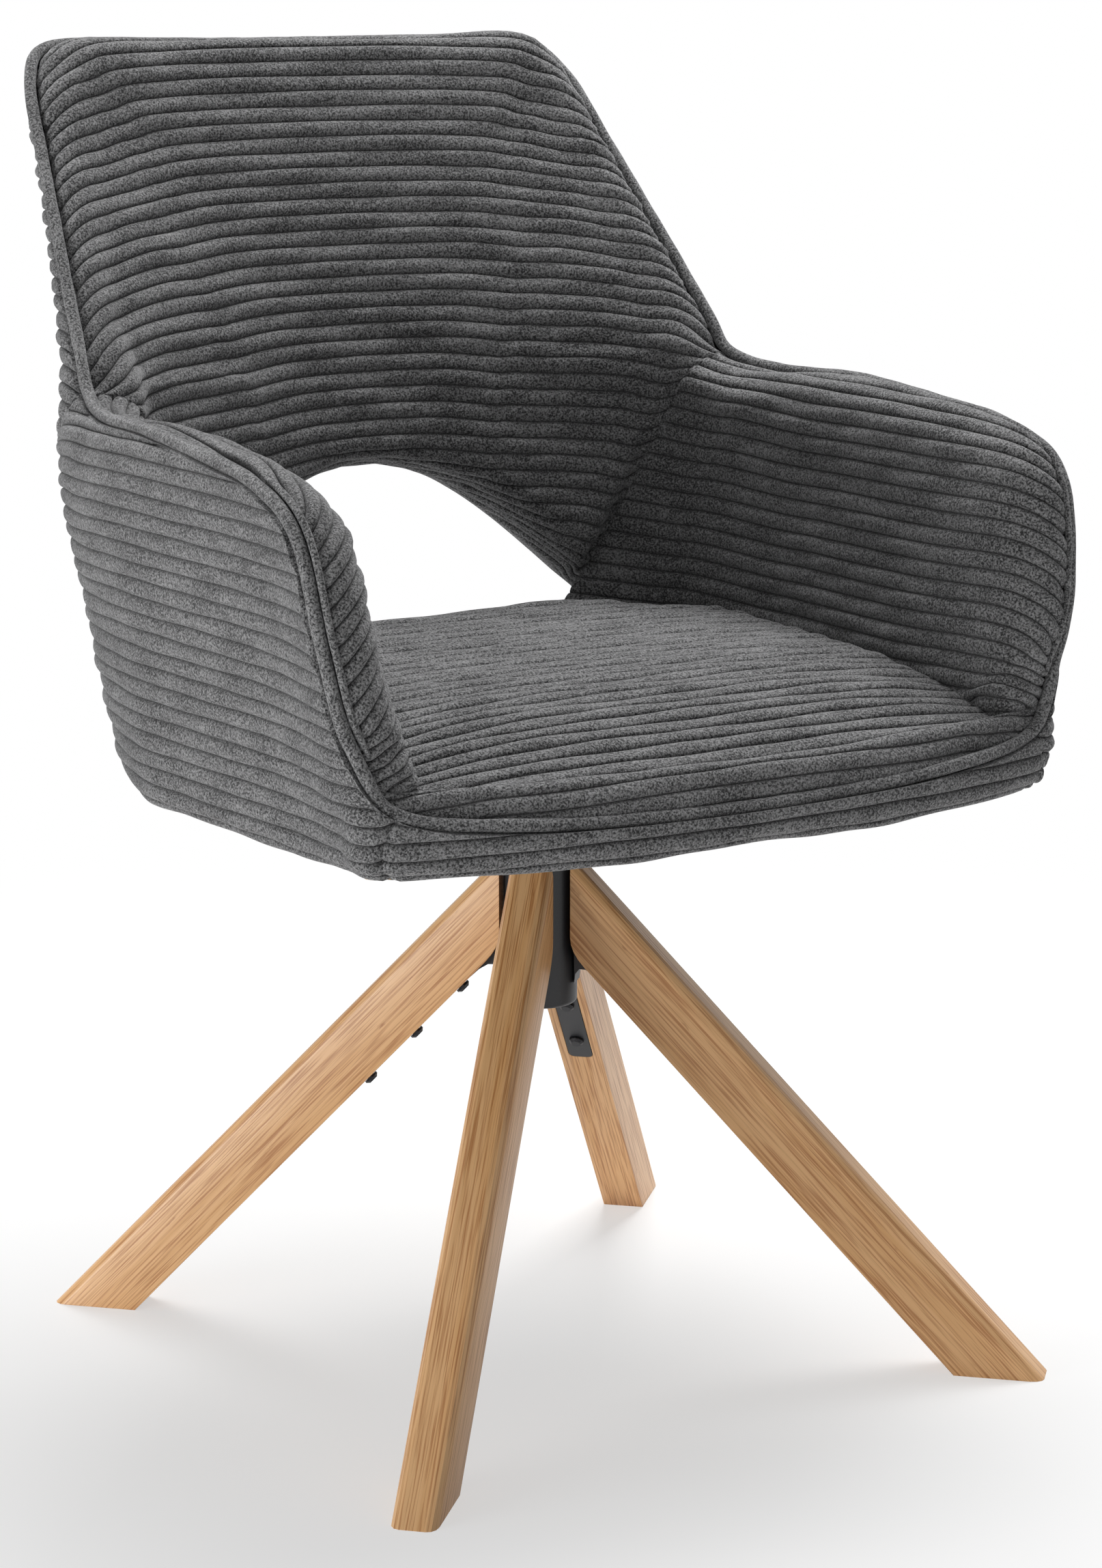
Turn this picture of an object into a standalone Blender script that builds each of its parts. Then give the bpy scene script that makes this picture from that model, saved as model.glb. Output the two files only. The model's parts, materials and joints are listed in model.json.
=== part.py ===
"""Swivel armchair: a padded bucket seat with an arch in its back, on four oak legs.

Metres, +Z up, the chair faces -Y. Every piece is drawn round the column axis. Two
empties on that axis carry the base and the seat, and at the end both are moved along
Y so that the chair's own box is centred on the origin.
"""

import math

import bmesh
import bpy
import numpy as np
from mathutils import Matrix

# Fits
TOUCH = 0.0003
SLIDE = 0.0004
HOLE_CLEARANCE = 0.0006

# Half width at the arms, and how much less it is at the notches, at the back's top, at
# mid height and at the underside
ARM_HALF_WIDTH = 0.289
NOTCH_INSET = 0.029
BACK_TAPER = 0.050
FLANK_LEAN = 0.018
FLANK_TUCK = 0.013
NOTCH_HALF_WIDTH = ARM_HALF_WIDTH - NOTCH_INSET
BACK_TOP_HALF_WIDTH = NOTCH_HALF_WIDTH - BACK_TAPER
MID_HALF_WIDTH = ARM_HALF_WIDTH - FLANK_LEAN
BASE_HALF_WIDTH = MID_HALF_WIDTH - FLANK_TUCK

# Bucket, as its outer face: plan of the underside
BUCKET_Z = 0.390
BASE_REAR_Y = 0.222
BASE_FRONT_Y = -0.247
BASE_REAR_RADIUS = 0.158
# Plan at mid height
MID_SHARE = 0.44
MID_REAR_Y = 0.262
MID_FRONT_Y = -0.252
MID_REAR_RADIUS = 0.184
FRONT_RADIUS = 0.034
FRONT_BOW = 0.020

# Rim: top of the back, its side edges, the notch, the arms and the front
BACK_TOP_Z = 0.866
BACK_TOP_Y = 0.364
BACK_TOP_BOW = 0.030
BACK_CORNER = 0.020
NOTCH_Y = 0.150
NOTCH_Z = 0.650
EDGE_FLARE = 0.85
ARM_REAR_Z = 0.640
ARM_FRONT_Z = 0.632
ARM_FRONT_Y = -0.211
ARM_SHOULDER = 0.075
APRON_TOP_Z = 0.418
APRON_CORNER_RISE = 0.012
APRON_FRONT_Y = -0.252

# Arch through the back
ARCH_TOP_Z = 0.578
ARCH_SILL_Z = 0.455
ARCH_HALF_WIDTH = 0.184
ARCH_END = 0.010

# Layers of the bucket, from the outer face inwards
COVER = 0.003
WADDING = 0.012
WADDING_ROUND = 0.030
BOARD = 0.008
BACK_PAD = 0.032
ARM_PAD = 0.034
PAD_EDGE = 0.005
PAD_ROUND = 0.030
SEAM_ROUND = 0.026
FRONT_ROUND = 0.050
FRONT_OVERLAP = 0.012
SEAM_SHARE = 0.40
FRONT_SHARE = 0.10
SEAM_GAP = 0.0012
PIPING_DIAMETER = 0.0076
PIPING_SET = 0.0052
PIPING_FIT = 0.0010

# Seat
SEAT_BOARD = 0.012
CUSHION_SEAM_Z = 0.434
CUSHION_CROWN_Z = 0.490
CUSHION_DRAW = 0.010
CUSHION_FIT = 0.0015
BOARD_FIT = 0.0008
DUST_COVER = 0.0008

# Swivel
SPINDLE_DIAMETER = 0.025
FLANGE_DIAMETER = 0.070
FLANGE = 0.008
WASHER = 0.003
PLATE_SIDE = 0.170
PLATE = 0.004
PLATE_CORNER = 0.016
PLATE_BOLT_PITCH = 0.130
HUB_TOP_Z = 0.378
HUB_BOTTOM_Z = 0.238
HUB_DIAMETER = 0.048
HUB_FOOT_DIAMETER = 0.051
HUB_FOOT = 0.030
HUB_FOOT_ROUND = 0.003
HUB_BORE = 0.033
BUSH = 0.030

# Legs
LEG_TIP_RADIUS = 0.347
LEG_FOOT = 0.060
LEG_TOP_Z = 0.340
LEG_WIDTH = 0.030
LEG_TOP_ROUND = 0.0065
LEG_HEEL_ROUND = 0.010
LEG_COUNT = 4

# Leg tongues and their bolts
TONGUE = 0.004
TONGUE_WIDTH = 0.017
TONGUE_END_RADIUS = 0.135
TONGUE_FILLET = 0.022
TONGUE_CORNER = 0.004
BOLT_FIRST_RADIUS = 0.054
BOLT_STEP = 0.0325
BOLT_COUNT = 3
BOLT_SHANK = 0.006
BOLT_HEAD = 0.0105
BOLT_HEAD_HEIGHT = 0.0032
LEG_BOLT_LENGTH = 0.026

# Finishes: linear colour, roughness, metallic
FINISHES = {
    "corduroy": ((0.085, 0.087, 0.090), 0.92, 0.0),
    "oak": ((0.560, 0.330, 0.150), 0.48, 0.0),
    "plywood": ((0.520, 0.370, 0.210), 0.65, 0.0),
    "black_powder_coat": ((0.020, 0.021, 0.024), 0.50, 0.0),
    "black_zinc": ((0.030, 0.030, 0.032), 0.42, 0.9),
    "steel": ((0.420, 0.430, 0.440), 0.35, 1.0),
    "nylon": ((0.620, 0.610, 0.580), 0.45, 0.0),
    "black_felt": ((0.018, 0.018, 0.019), 0.95, 0.0),
}

# Stations along the half loop from the back's centre to the front's centre. On a plan,
# 0 to 1 is the straight rear, 1 to 2 the rear corner, 2 to 3 the side, 3 to 4 the front
# corner and 4 to 5 the straight front.
BASE_STATIONS = (
    (0, 0.22, 0.42, 0.56, 0.68, 0.80, 0.92, 1.05, 1.50)
    + (1.95, 2.22, 2.45, 2.63, 2.79, 2.93, 3.5, 4.45, 5)
)
MID_STATIONS = (
    (0, 0.40, 0.70, 0.88, 1.02, 1.13, 1.26, 1.42, 1.70)
    + (2.03, 2.29, 2.50, 2.67, 2.82, 2.95, 3.5, 4.45, 5)
)
NOTCH = 7
CORNER = 15
PAD_FRONT = 14
WADDING_END = 12
FRONT = 17
LOOP = 2 * FRONT

# Height shares below which a cover has no wadding and above which it has all of it
WADDING_FOOT = 0.40
WADDING_FULL = 0.85

LOWER_ROWS = 1
MIDDLE_ROWS = 2
UPPER_ROWS = 5
ARCH_LOW = LOWER_ROWS
ARCH_HIGH = LOWER_ROWS + MIDDLE_ROWS

LAYER_BOARD = COVER + SLIDE
LAYER_PAD = LAYER_BOARD + BOARD + SLIDE
PIPING_RADIUS = PIPING_DIAMETER / 2
RIM_DROP = PIPING_RADIUS + TOUCH

LEG_HEEL_RADIUS = LEG_TIP_RADIUS - LEG_FOOT
LEG_SLOPE = math.atan2(LEG_TOP_Z, LEG_TIP_RADIUS - HUB_DIAMETER / 2)
LEG_ANGLES = [math.radians(45 + 90 * i) for i in range(LEG_COUNT)]
LEG_NAMES = ("rear_right", "rear_left", "front_left", "front_right")

WASHER_Z = HUB_TOP_Z + TOUCH
FLANGE_Z = WASHER_Z + WASHER + TOUCH
PLATE_Z = FLANGE_Z + FLANGE + TOUCH
BOARD_Z = PLATE_Z + PLATE + TOUCH
CUSHION_Z = BOARD_Z + SEAT_BOARD + TOUCH


def clear_scene():
    for item in list(bpy.data.objects):
        bpy.data.objects.remove(item, do_unlink=True)


def new_collection(name):
    made = bpy.data.collections.new(name)
    bpy.context.scene.collection.children.link(made)
    return made


def make_finishes():
    made = {}
    for name, (colour, roughness, metallic) in FINISHES.items():
        material = bpy.data.materials.new(name)
        material.use_nodes = True
        shader = material.node_tree.nodes["Principled BSDF"]
        shader.inputs["Base Color"].default_value = (*colour, 1)
        shader.inputs["Roughness"].default_value = roughness
        shader.inputs["Metallic"].default_value = metallic
        made[name] = material
    return made


class Shop:
    """The collections, the finishes and the empty that new pieces hang on."""

    def __init__(self):
        self.parts = new_collection("armchair")
        self.cutters = new_collection("armchair_cutters")
        self.finishes = make_finishes()
        self.base_axis = self.empty("base_axis")
        self.seat_axis = self.empty("seat_axis")

    def empty(self, name):
        made = bpy.data.objects.new(name, None)
        made.empty_display_size = 0.05
        self.parts.objects.link(made)
        return made

    def piece(self, name, data, finish, axis, matrix=Matrix.Identity(4)):
        """A sub-part with this mesh or curve, hung on an axis empty."""
        made = bpy.data.objects.new(name, data)
        data.materials.append(self.finishes[finish])
        self.parts.objects.link(made)
        made.parent = axis
        made.matrix_local = matrix
        return made

    def cutter(self, name, data, axis, matrix=Matrix.Identity(4)):
        made = bpy.data.objects.new(name, data)
        self.cutters.objects.link(made)
        made.parent = axis
        made.matrix_local = matrix
        made.hide_render = True
        made.display_type = "WIRE"
        return made


def cut(piece, cutter):
    modifier = piece.modifiers.new(cutter.name, "BOOLEAN")
    modifier.operation = "DIFFERENCE"
    modifier.solver = "EXACT"
    modifier.object = cutter


def mesh_of(bm, name, smooth_angle=None):
    """The bmesh as a mesh, faces outwards, smooth where asked."""
    bmesh.ops.recalc_face_normals(bm, faces=bm.faces)
    if bm.calc_volume(signed=True) < 0:
        bmesh.ops.reverse_faces(bm, faces=bm.faces)
    mesh = bpy.data.meshes.new(name)
    bm.to_mesh(mesh)
    bm.free()
    if smooth_angle is not None:
        mesh.shade_smooth()
        mesh.set_sharp_from_angle(angle=math.radians(smooth_angle))
    return mesh


def prism(outline, low, depth):
    """A flat outline in XY, raised along Z from low by depth."""
    bm = bmesh.new()
    face = bm.faces.new([bm.verts.new((x, y, low)) for x, y in outline])
    grown = bmesh.ops.extrude_face_region(bm, geom=[face], use_keep_orig=True)["geom"]
    moved = [item for item in grown if isinstance(item, bmesh.types.BMVert)]
    bmesh.ops.translate(bm, verts=moved, vec=(0, 0, depth))
    return bm


def upright_prism(outline, width):
    """A side view of (radius, height) in the XZ plane, given a width across Y."""
    bm = prism(outline, -width / 2, width)
    bmesh.ops.rotate(bm, verts=bm.verts, matrix=Matrix.Rotation(math.pi / 2, 3, "X"))
    return bm


def turned(shop, name, profile, finish, axis, steps=24, closed=False, matrix=Matrix.Identity(4)):
    """A profile of (radius, height) turned about Z; closed for a ring."""
    bm = bmesh.new()
    verts = [bm.verts.new((radius, 0, height)) for radius, height in profile]
    pairs = list(zip(verts, verts[1:]))
    if closed:
        pairs.append((verts[-1], verts[0]))
    for pair in pairs:
        bm.edges.new(pair)
    mesh = bpy.data.meshes.new(name)
    bm.to_mesh(mesh)
    bm.free()
    made = shop.piece(name, mesh, finish, axis, matrix)
    screw = made.modifiers.new("turn", "SCREW")
    screw.axis = "Z"
    screw.angle = math.tau
    screw.steps = steps
    screw.render_steps = steps
    screw.use_merge_vertices = True
    screw.merge_threshold = 0.00001
    screw.use_smooth_shade = True
    return made


def plan_point(station, half, rear, front, rear_radius):
    """A point of the rounded plan at this station, on the right-hand side."""
    leg, share = int(min(station, 4.999)), station - int(min(station, 4.999))
    corner = front + FRONT_BOW
    if leg == 0:
        return share * (half - rear_radius), rear
    if leg == 1:
        turn = share * math.pi / 2
        return (
            half - rear_radius + rear_radius * math.sin(turn),
            rear - rear_radius + rear_radius * math.cos(turn),
        )
    if leg == 2:
        start, end = rear - rear_radius, corner + FRONT_RADIUS
        return half, start + share * (end - start)
    if leg == 3:
        turn = share * math.pi / 2
        return (
            half - FRONT_RADIUS + FRONT_RADIUS * math.cos(turn),
            corner + FRONT_RADIUS - FRONT_RADIUS * math.sin(turn),
        )
    return (1 - share) * (half - FRONT_RADIUS), front + FRONT_BOW * (1 - share) ** 2


def edge_point(share):
    """A point on the back's side edge, from its top corner (0) to the notch (1)."""
    corner_y = BACK_TOP_Y - BACK_TOP_BOW
    return (
        BACK_TOP_HALF_WIDTH + (NOTCH_HALF_WIDTH - BACK_TOP_HALF_WIDTH) * share**EDGE_FLARE,
        corner_y + (NOTCH_Y - corner_y) * share,
        BACK_TOP_Z + (NOTCH_Z - BACK_TOP_Z) * share,
    )


def rim_points():
    """The rim's half loop, one point per station."""
    side = ARM_HALF_WIDTH
    shoulder_y = ARM_FRONT_Y + ARM_SHOULDER
    drop = ARM_FRONT_Z - APRON_TOP_Z
    corner_z = APRON_TOP_Z + APRON_CORNER_RISE
    top_in = BACK_TOP_HALF_WIDTH - BACK_CORNER
    return [
        (0, BACK_TOP_Y, BACK_TOP_Z),
        (0.55 * BACK_TOP_HALF_WIDTH, BACK_TOP_Y - 0.26 * BACK_TOP_BOW, BACK_TOP_Z),
        (top_in, BACK_TOP_Y - 0.76 * BACK_TOP_BOW, BACK_TOP_Z),
        edge_point(0.10),
        edge_point(0.36),
        edge_point(0.64),
        edge_point(0.87),
        (NOTCH_HALF_WIDTH, NOTCH_Y, NOTCH_Z),
        (NOTCH_HALF_WIDTH + 0.42 * (side - NOTCH_HALF_WIDTH), NOTCH_Y - 0.050, ARM_REAR_Z),
        (NOTCH_HALF_WIDTH + 0.76 * (side - NOTCH_HALF_WIDTH), NOTCH_Y - 0.130, ARM_REAR_Z),
        (side - 0.004, shoulder_y + 0.065, ARM_FRONT_Z),
        (side - 0.001, shoulder_y, ARM_FRONT_Z - 0.04 * drop),
        (side, ARM_FRONT_Y + 0.021, ARM_FRONT_Z - 0.15 * drop),
        (side - 0.010, ARM_FRONT_Y - 0.002, ARM_FRONT_Z - 0.45 * drop),
        (side - 0.024, ARM_FRONT_Y - 0.012, ARM_FRONT_Z - 0.75 * drop),
        (side - 0.041, APRON_FRONT_Y + 1.2 * FRONT_BOW, corner_z),
        (0.46 * side, APRON_FRONT_Y + 0.3 * FRONT_BOW, APRON_TOP_Z),
        (0, APRON_FRONT_Y, APRON_TOP_Z),
    ]


def closed_loop(half):
    """The half loop with its mirror image, back to the start."""
    half = np.array(half, float)
    return np.concatenate([half, half[-2:0:-1] * (-1, 1, 1)])


def along(loop, stations):
    """Points of the closed Catmull-Rom curve through the loop's points."""
    stations = np.asarray(stations, float)
    count = len(loop)
    index = np.floor(stations).astype(int)
    t = (stations - index)[..., None]
    p0, p1, p2, p3 = (loop[(index + step) % count] for step in (-1, 0, 1, 2))
    return 0.5 * (
        2 * p1
        + (p2 - p0) * t
        + (2 * p0 - 5 * p1 + 4 * p2 - p3) * t**2
        + (3 * p1 - p0 - 3 * p2 + p3) * t**3
    )


class Bucket:
    """The bucket's outer face as a surface of (station, height share)."""

    def __init__(self):
        self.rim = closed_loop(rim_points())
        base = [
            (*plan_point(u, BASE_HALF_WIDTH, BASE_REAR_Y, BASE_FRONT_Y, BASE_REAR_RADIUS), BUCKET_Z)
            for u in BASE_STATIONS
        ]
        self.base = closed_loop(base)
        mid = [
            (*plan_point(u, MID_HALF_WIDTH, MID_REAR_Y, MID_FRONT_Y, MID_REAR_RADIUS), 0)
            for u in MID_STATIONS
        ]
        self.mid = closed_loop(mid)

    def point(self, stations, shares):
        """Outer-face points: a parabola through base, mid and rim at each station."""
        base = along(self.base, stations)
        mid = along(self.mid, stations)
        rim = along(self.rim, stations)
        v = np.asarray(shares, float)[..., None]
        low = (v - MID_SHARE) * (v - 1) / MID_SHARE
        middle = v * (v - 1) / (MID_SHARE * (MID_SHARE - 1))
        high = v * (v - MID_SHARE) / (1 - MID_SHARE)
        made = low * base + middle * mid + high * rim
        made[..., 2:] = base[..., 2:] + (rim - base)[..., 2:] * v
        return made

    def frame(self, stations, shares):
        """Points, inward unit normals and unit tangents up the face."""
        step = 1e-3
        stations, shares = np.broadcast_arrays(np.asarray(stations, float), np.asarray(shares, float))
        across = self.point(stations + step, shares) - self.point(stations - step, shares)
        up = self.point(stations, shares + step) - self.point(stations, shares - step)
        up /= np.linalg.norm(up, axis=-1, keepdims=True)
        inward = np.cross(across, up)
        inward /= np.linalg.norm(inward, axis=-1, keepdims=True)
        return self.point(stations, shares), inward, up

    def height(self, stations):
        """Length of the face from underside to rim at these stations."""
        return np.linalg.norm(along(self.rim, stations) - along(self.base, stations), axis=-1)

    def pitch(self, station):
        """Length of one station along the face, at mid height."""
        step = 0.05
        ahead, behind = self.point(station + step, 0.5), self.point(station - step, 0.5)
        return float(np.linalg.norm(ahead - behind)) / (2 * step)

    def share_at(self, station, z):
        rim_z = along(self.rim, station)[..., 2]
        return (z - BUCKET_Z) / (rim_z - BUCKET_Z)

    def arch_share(self, station):
        """Height share of the arch's edge at a station of the back."""
        z = ARCH_TOP_Z
        for _ in range(12):
            x = abs(self.point(station, self.share_at(station, z))[..., 0])
            fall = min(float(x) / ARCH_HALF_WIDTH, 1) ** 2
            z = ARCH_TOP_Z - (ARCH_TOP_Z - ARCH_SILL_Z - ARCH_END) * fall
        return self.share_at(station, z)

    def row_shares(self, station):
        """Height shares of the face's rows at one station, underside to rim."""
        nearest = abs((station + FRONT) % LOOP - FRONT)
        height = float(self.height(station))
        top = 1 - RIM_DROP / height
        even = np.linspace(0, top, LOWER_ROWS + MIDDLE_ROWS + 4)
        sill, arch = even[ARCH_LOW], even[ARCH_HIGH]
        if nearest < NOTCH + 2:
            blend = np.clip((nearest - NOTCH) / 2, 0, 1)
            back = min(nearest, NOTCH)
            sill += (1 - blend) * (float(self.share_at(back, ARCH_SILL_Z)) - sill)
            arch += (1 - blend) * (float(self.arch_share(back)) - arch)
        rounding = min(PAD_ROUND / height, 0.4 * (top - arch))
        bend = top - rounding
        upper = [arch, arch + min(rounding, 0.4 * (bend - arch)), 0.5 * (arch + bend) + 0.2 * rounding]
        upper += [bend, top - 0.25 * rounding, top]
        return np.concatenate(
            [
                np.linspace(0, sill, LOWER_ROWS + 1)[:-1],
                np.linspace(sill, arch, MIDDLE_ROWS + 1)[:-1],
                upper,
            ]
        )


def columns(first, last, trim_first=0.0, trim_last=0.0):
    """Stations from first to last: half steps, quarters round the rear corners."""
    made = [first]
    while made[-1] < last - 1e-6:
        nearest = abs((made[-1] + 0.01 + FRONT) % LOOP - FRONT)
        made.append(made[-1] + (0.25 if NOTCH < nearest < NOTCH + 2 else 0.5))
    made[0] += trim_first
    made[-1] -= trim_last
    return np.array(made)


def edge_round(distance, width):
    """0 at an edge, 1 from width onwards, as a quarter round."""
    return np.sqrt(1 - (1 - np.clip(distance / width, 0, 1)) ** 2)


def layer(bucket, stations, rows, near, far, keep=None, wrap=False):
    """A closed sheet of the bucket between two depths behind the outer face.

    rows is a slice of the face's rows, near and far are depths (a number or an array
    of rows by stations), and keep says which cells (row, column) the sheet has.
    """
    shares = np.stack([bucket.row_shares(s)[rows] for s in stations], axis=1)
    points, inward, _ = bucket.frame(np.broadcast_to(stations, shares.shape), shares)
    near_points = (points + inward * np.broadcast_to(near, shares.shape)[..., None]).reshape(-1, 3)
    far_points = (points + inward * np.broadcast_to(far, shares.shape)[..., None]).reshape(-1, 3)
    count_rows, count_columns = shares.shape
    bm = bmesh.new()
    bmesh.ops.create_grid(bm, x_segments=count_columns - 1, y_segments=count_rows - 1, size=0.5)
    cell = bm.verts.layers.int.new("cell")
    for vert in bm.verts:
        column = round((vert.co.x + 0.5) * (count_columns - 1))
        row = round((vert.co.y + 0.5) * (count_rows - 1))
        vert[cell] = row * count_columns + column
    if keep is not None:
        dropped = []
        for face in bm.faces:
            low = min(vert[cell] for vert in face.verts)
            if not keep(low // count_columns, low % count_columns):
                dropped.append(face)
        bmesh.ops.delete(bm, geom=dropped, context="FACES")
    for vert in bm.verts:
        vert.co = near_points[vert[cell]]
    if wrap:
        bmesh.ops.remove_doubles(bm, verts=bm.verts, dist=0.00001)
    bmesh.ops.triangulate(bm, faces=bm.faces, quad_method="SHORT_EDGE")
    grown = bmesh.ops.extrude_face_region(bm, geom=list(bm.faces), use_keep_orig=True)["geom"]
    for item in grown:
        if isinstance(item, bmesh.types.BMVert):
            item.co = far_points[item[cell]]
    walls = [face for face in bm.faces if len(face.verts) > 3]
    bmesh.ops.triangulate(bm, faces=walls, quad_method="SHORT_EDGE")
    return bm


def station_trim(bucket, station, gap):
    """How much of a station half this gap takes, at mid height."""
    return 0.5 * gap / bucket.pitch(station)


def make_shell(shop, bucket):
    """The moulded board that carries the upholstery, with the arch left open."""
    stations = columns(-FRONT, FRONT)

    def solid(row, column):
        middle = 0.5 * (stations[column] + stations[column + 1])
        return abs(middle) > NOTCH or not ARCH_LOW <= row < ARCH_HIGH

    bm = layer(bucket, stations, slice(None), LAYER_BOARD, LAYER_BOARD + BOARD, solid, wrap=True)
    shop.piece("bucket_shell", mesh_of(bm, "bucket_shell", 40), "plywood", shop.seat_axis)


def wadding_swell(bucket, stations, shares):
    """How full the wadding under a cover is: none at the rim, below and at the arms' fronts."""
    nearest = abs((stations + FRONT) % LOOP - FRONT)
    height = np.array([float(bucket.height(s)) for s in stations])
    tops = np.array([bucket.row_shares(s)[-1] for s in stations])
    rearward = np.clip((WADDING_END - nearest) / (WADDING_END - NOTCH), 0, 1)
    upward = np.clip((shares - WADDING_FOOT) / (WADDING_FULL - WADDING_FOOT), 0, 1)
    return edge_round((tops - shares) * height, WADDING_ROUND) * upward * rearward


def make_covers(shop, bucket):
    """Outer upholstery: back, arms and front apron, sewn at the notches and corners."""
    seam = station_trim(bucket, NOTCH, SLIDE)
    corner = station_trim(bucket, CORNER, SLIDE)
    back = columns(-NOTCH, NOTCH, seam, seam)
    arm_right = columns(NOTCH, CORNER, seam, corner)
    arm_left = columns(-CORNER, -NOTCH, corner, seam)
    front = columns(CORNER, LOOP - CORNER, corner, corner)
    covers = (
        ("outer_arm_cover_right", arm_right, slice(None)),
        ("outer_arm_cover_left", arm_left, slice(None)),
        ("front_apron", front, slice(None)),
        ("outer_back_cover", back, slice(ARCH_HIGH, None)),
        ("rear_band_cover", back, slice(0, ARCH_LOW + 1)),
    )
    for name, stations, rows in covers:
        shares = np.stack([bucket.row_shares(s)[rows] for s in stations], axis=1)
        bm = layer(bucket, stations, rows, -WADDING * wadding_swell(bucket, stations, shares), COVER)
        shop.piece(name, mesh_of(bm, name, 40), "corduroy", shop.seat_axis)


def pad_depth(bucket, stations, shares, full, ends):
    """Depth of a pad's inner face: full, rounded at the rim, its foot and its ends."""
    height = np.array([float(bucket.height(s)) for s in stations])
    to_rim = (shares[-1] - shares) * height
    to_foot = (shares - shares[0]) * height
    swell = edge_round(to_rim, PAD_ROUND)
    for station, left, width in ends:
        to_end = abs(stations - station) * bucket.pitch(station)
        swell = swell * (left + (1 - left) * edge_round(to_end, width))
    swell = swell * (SEAM_SHARE + (1 - SEAM_SHARE) * edge_round(to_foot, PAD_ROUND))
    return LAYER_PAD + PAD_EDGE + (full - PAD_EDGE) * swell


def make_pads(shop, bucket):
    """Inner upholstery: the back pad over the arch, and a pad inside each arm."""
    seam = station_trim(bucket, NOTCH, SEAM_GAP)
    left, right = (-NOTCH, SEAM_SHARE, SEAM_ROUND), (NOTCH, SEAM_SHARE, SEAM_ROUND)
    front_left, front_right = (-PAD_FRONT, FRONT_SHARE, FRONT_ROUND), (PAD_FRONT, FRONT_SHARE, FRONT_ROUND)
    spans = (
        ("back_pad", columns(-NOTCH, NOTCH, seam, seam), ARCH_HIGH, BACK_PAD, (left, right)),
        ("arm_pad_right", columns(NOTCH, PAD_FRONT, seam), ARCH_LOW, ARM_PAD, (right, front_right)),
        ("arm_pad_left", columns(-PAD_FRONT, -NOTCH, 0, seam), ARCH_LOW, ARM_PAD, (left, front_left)),
    )
    for name, stations, foot, full, ends in spans:
        rows = slice(foot, None)
        shares = np.stack([bucket.row_shares(s)[rows] for s in stations], axis=1)
        depth = pad_depth(bucket, stations, shares, full, ends)
        bm = layer(bucket, stations, rows, LAYER_PAD, depth)
        shop.piece(name, mesh_of(bm, name, 50), "corduroy", shop.seat_axis)


def make_piping(shop, bucket):
    """One cord sewn along the whole rim, on top of the covers' edges."""
    stations = columns(-FRONT, FRONT)[:-1]
    tops = np.array([bucket.row_shares(s)[-1] for s in stations])
    points, inward, up = bucket.frame(stations, tops)
    steps = np.roll(points, -1, axis=0) - points
    steps /= np.linalg.norm(steps, axis=1, keepdims=True)
    ahead = 0.5 * (steps + np.roll(steps, 1, axis=0))
    mitre = np.linalg.norm(ahead, axis=1, keepdims=True)
    square = np.cross(inward, ahead)
    square /= np.linalg.norm(square, axis=1, keepdims=True)
    square *= np.sign(np.sum(square * up, axis=1, keepdims=True))
    path = points + inward * PIPING_SET + square * (PIPING_RADIUS + PIPING_FIT) / mitre
    curve = bpy.data.curves.new("rim_piping", "CURVE")
    curve.dimensions = "3D"
    curve.bevel_depth = PIPING_RADIUS
    curve.bevel_resolution = 2
    spline = curve.splines.new("POLY")
    spline.points.add(len(path) - 1)
    for point, place in zip(spline.points, path):
        point.co = (*place, 1)
    spline.use_cyclic_u = True
    shop.piece("rim_piping", curve, "corduroy", shop.seat_axis)


def inner_outline(bucket, z, depth):
    """The plan inside the bucket at one height, this deep behind the outer face."""
    stations = columns(-FRONT, FRONT)[:-1]
    shares = np.minimum(bucket.share_at(stations, z), 1)
    points, inward, _ = bucket.frame(stations, shares)
    level = inward[:, :2] / np.sum(inward[:, :2] ** 2, axis=1, keepdims=True)
    return points[:, :2] + level * np.broadcast_to(depth, stations.shape)[:, None]


def cushion_depth(bucket):
    """Depth of the cushion's side: inside the arm pads, out to the board elsewhere."""
    stations = columns(-FRONT, FRONT)[:-1]
    nearest = abs((stations + FRONT) % LOOP - FRONT)
    rise = np.clip((nearest - (NOTCH - 1.5)) / 1.5, 0, 1)
    to_front = (PAD_FRONT - nearest) * bucket.pitch(PAD_FRONT)
    fall = edge_round(to_front + FRONT_OVERLAP, FRONT_ROUND)
    return LAYER_PAD + CUSHION_FIT + ARM_PAD * np.minimum(rise, fall)


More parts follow.
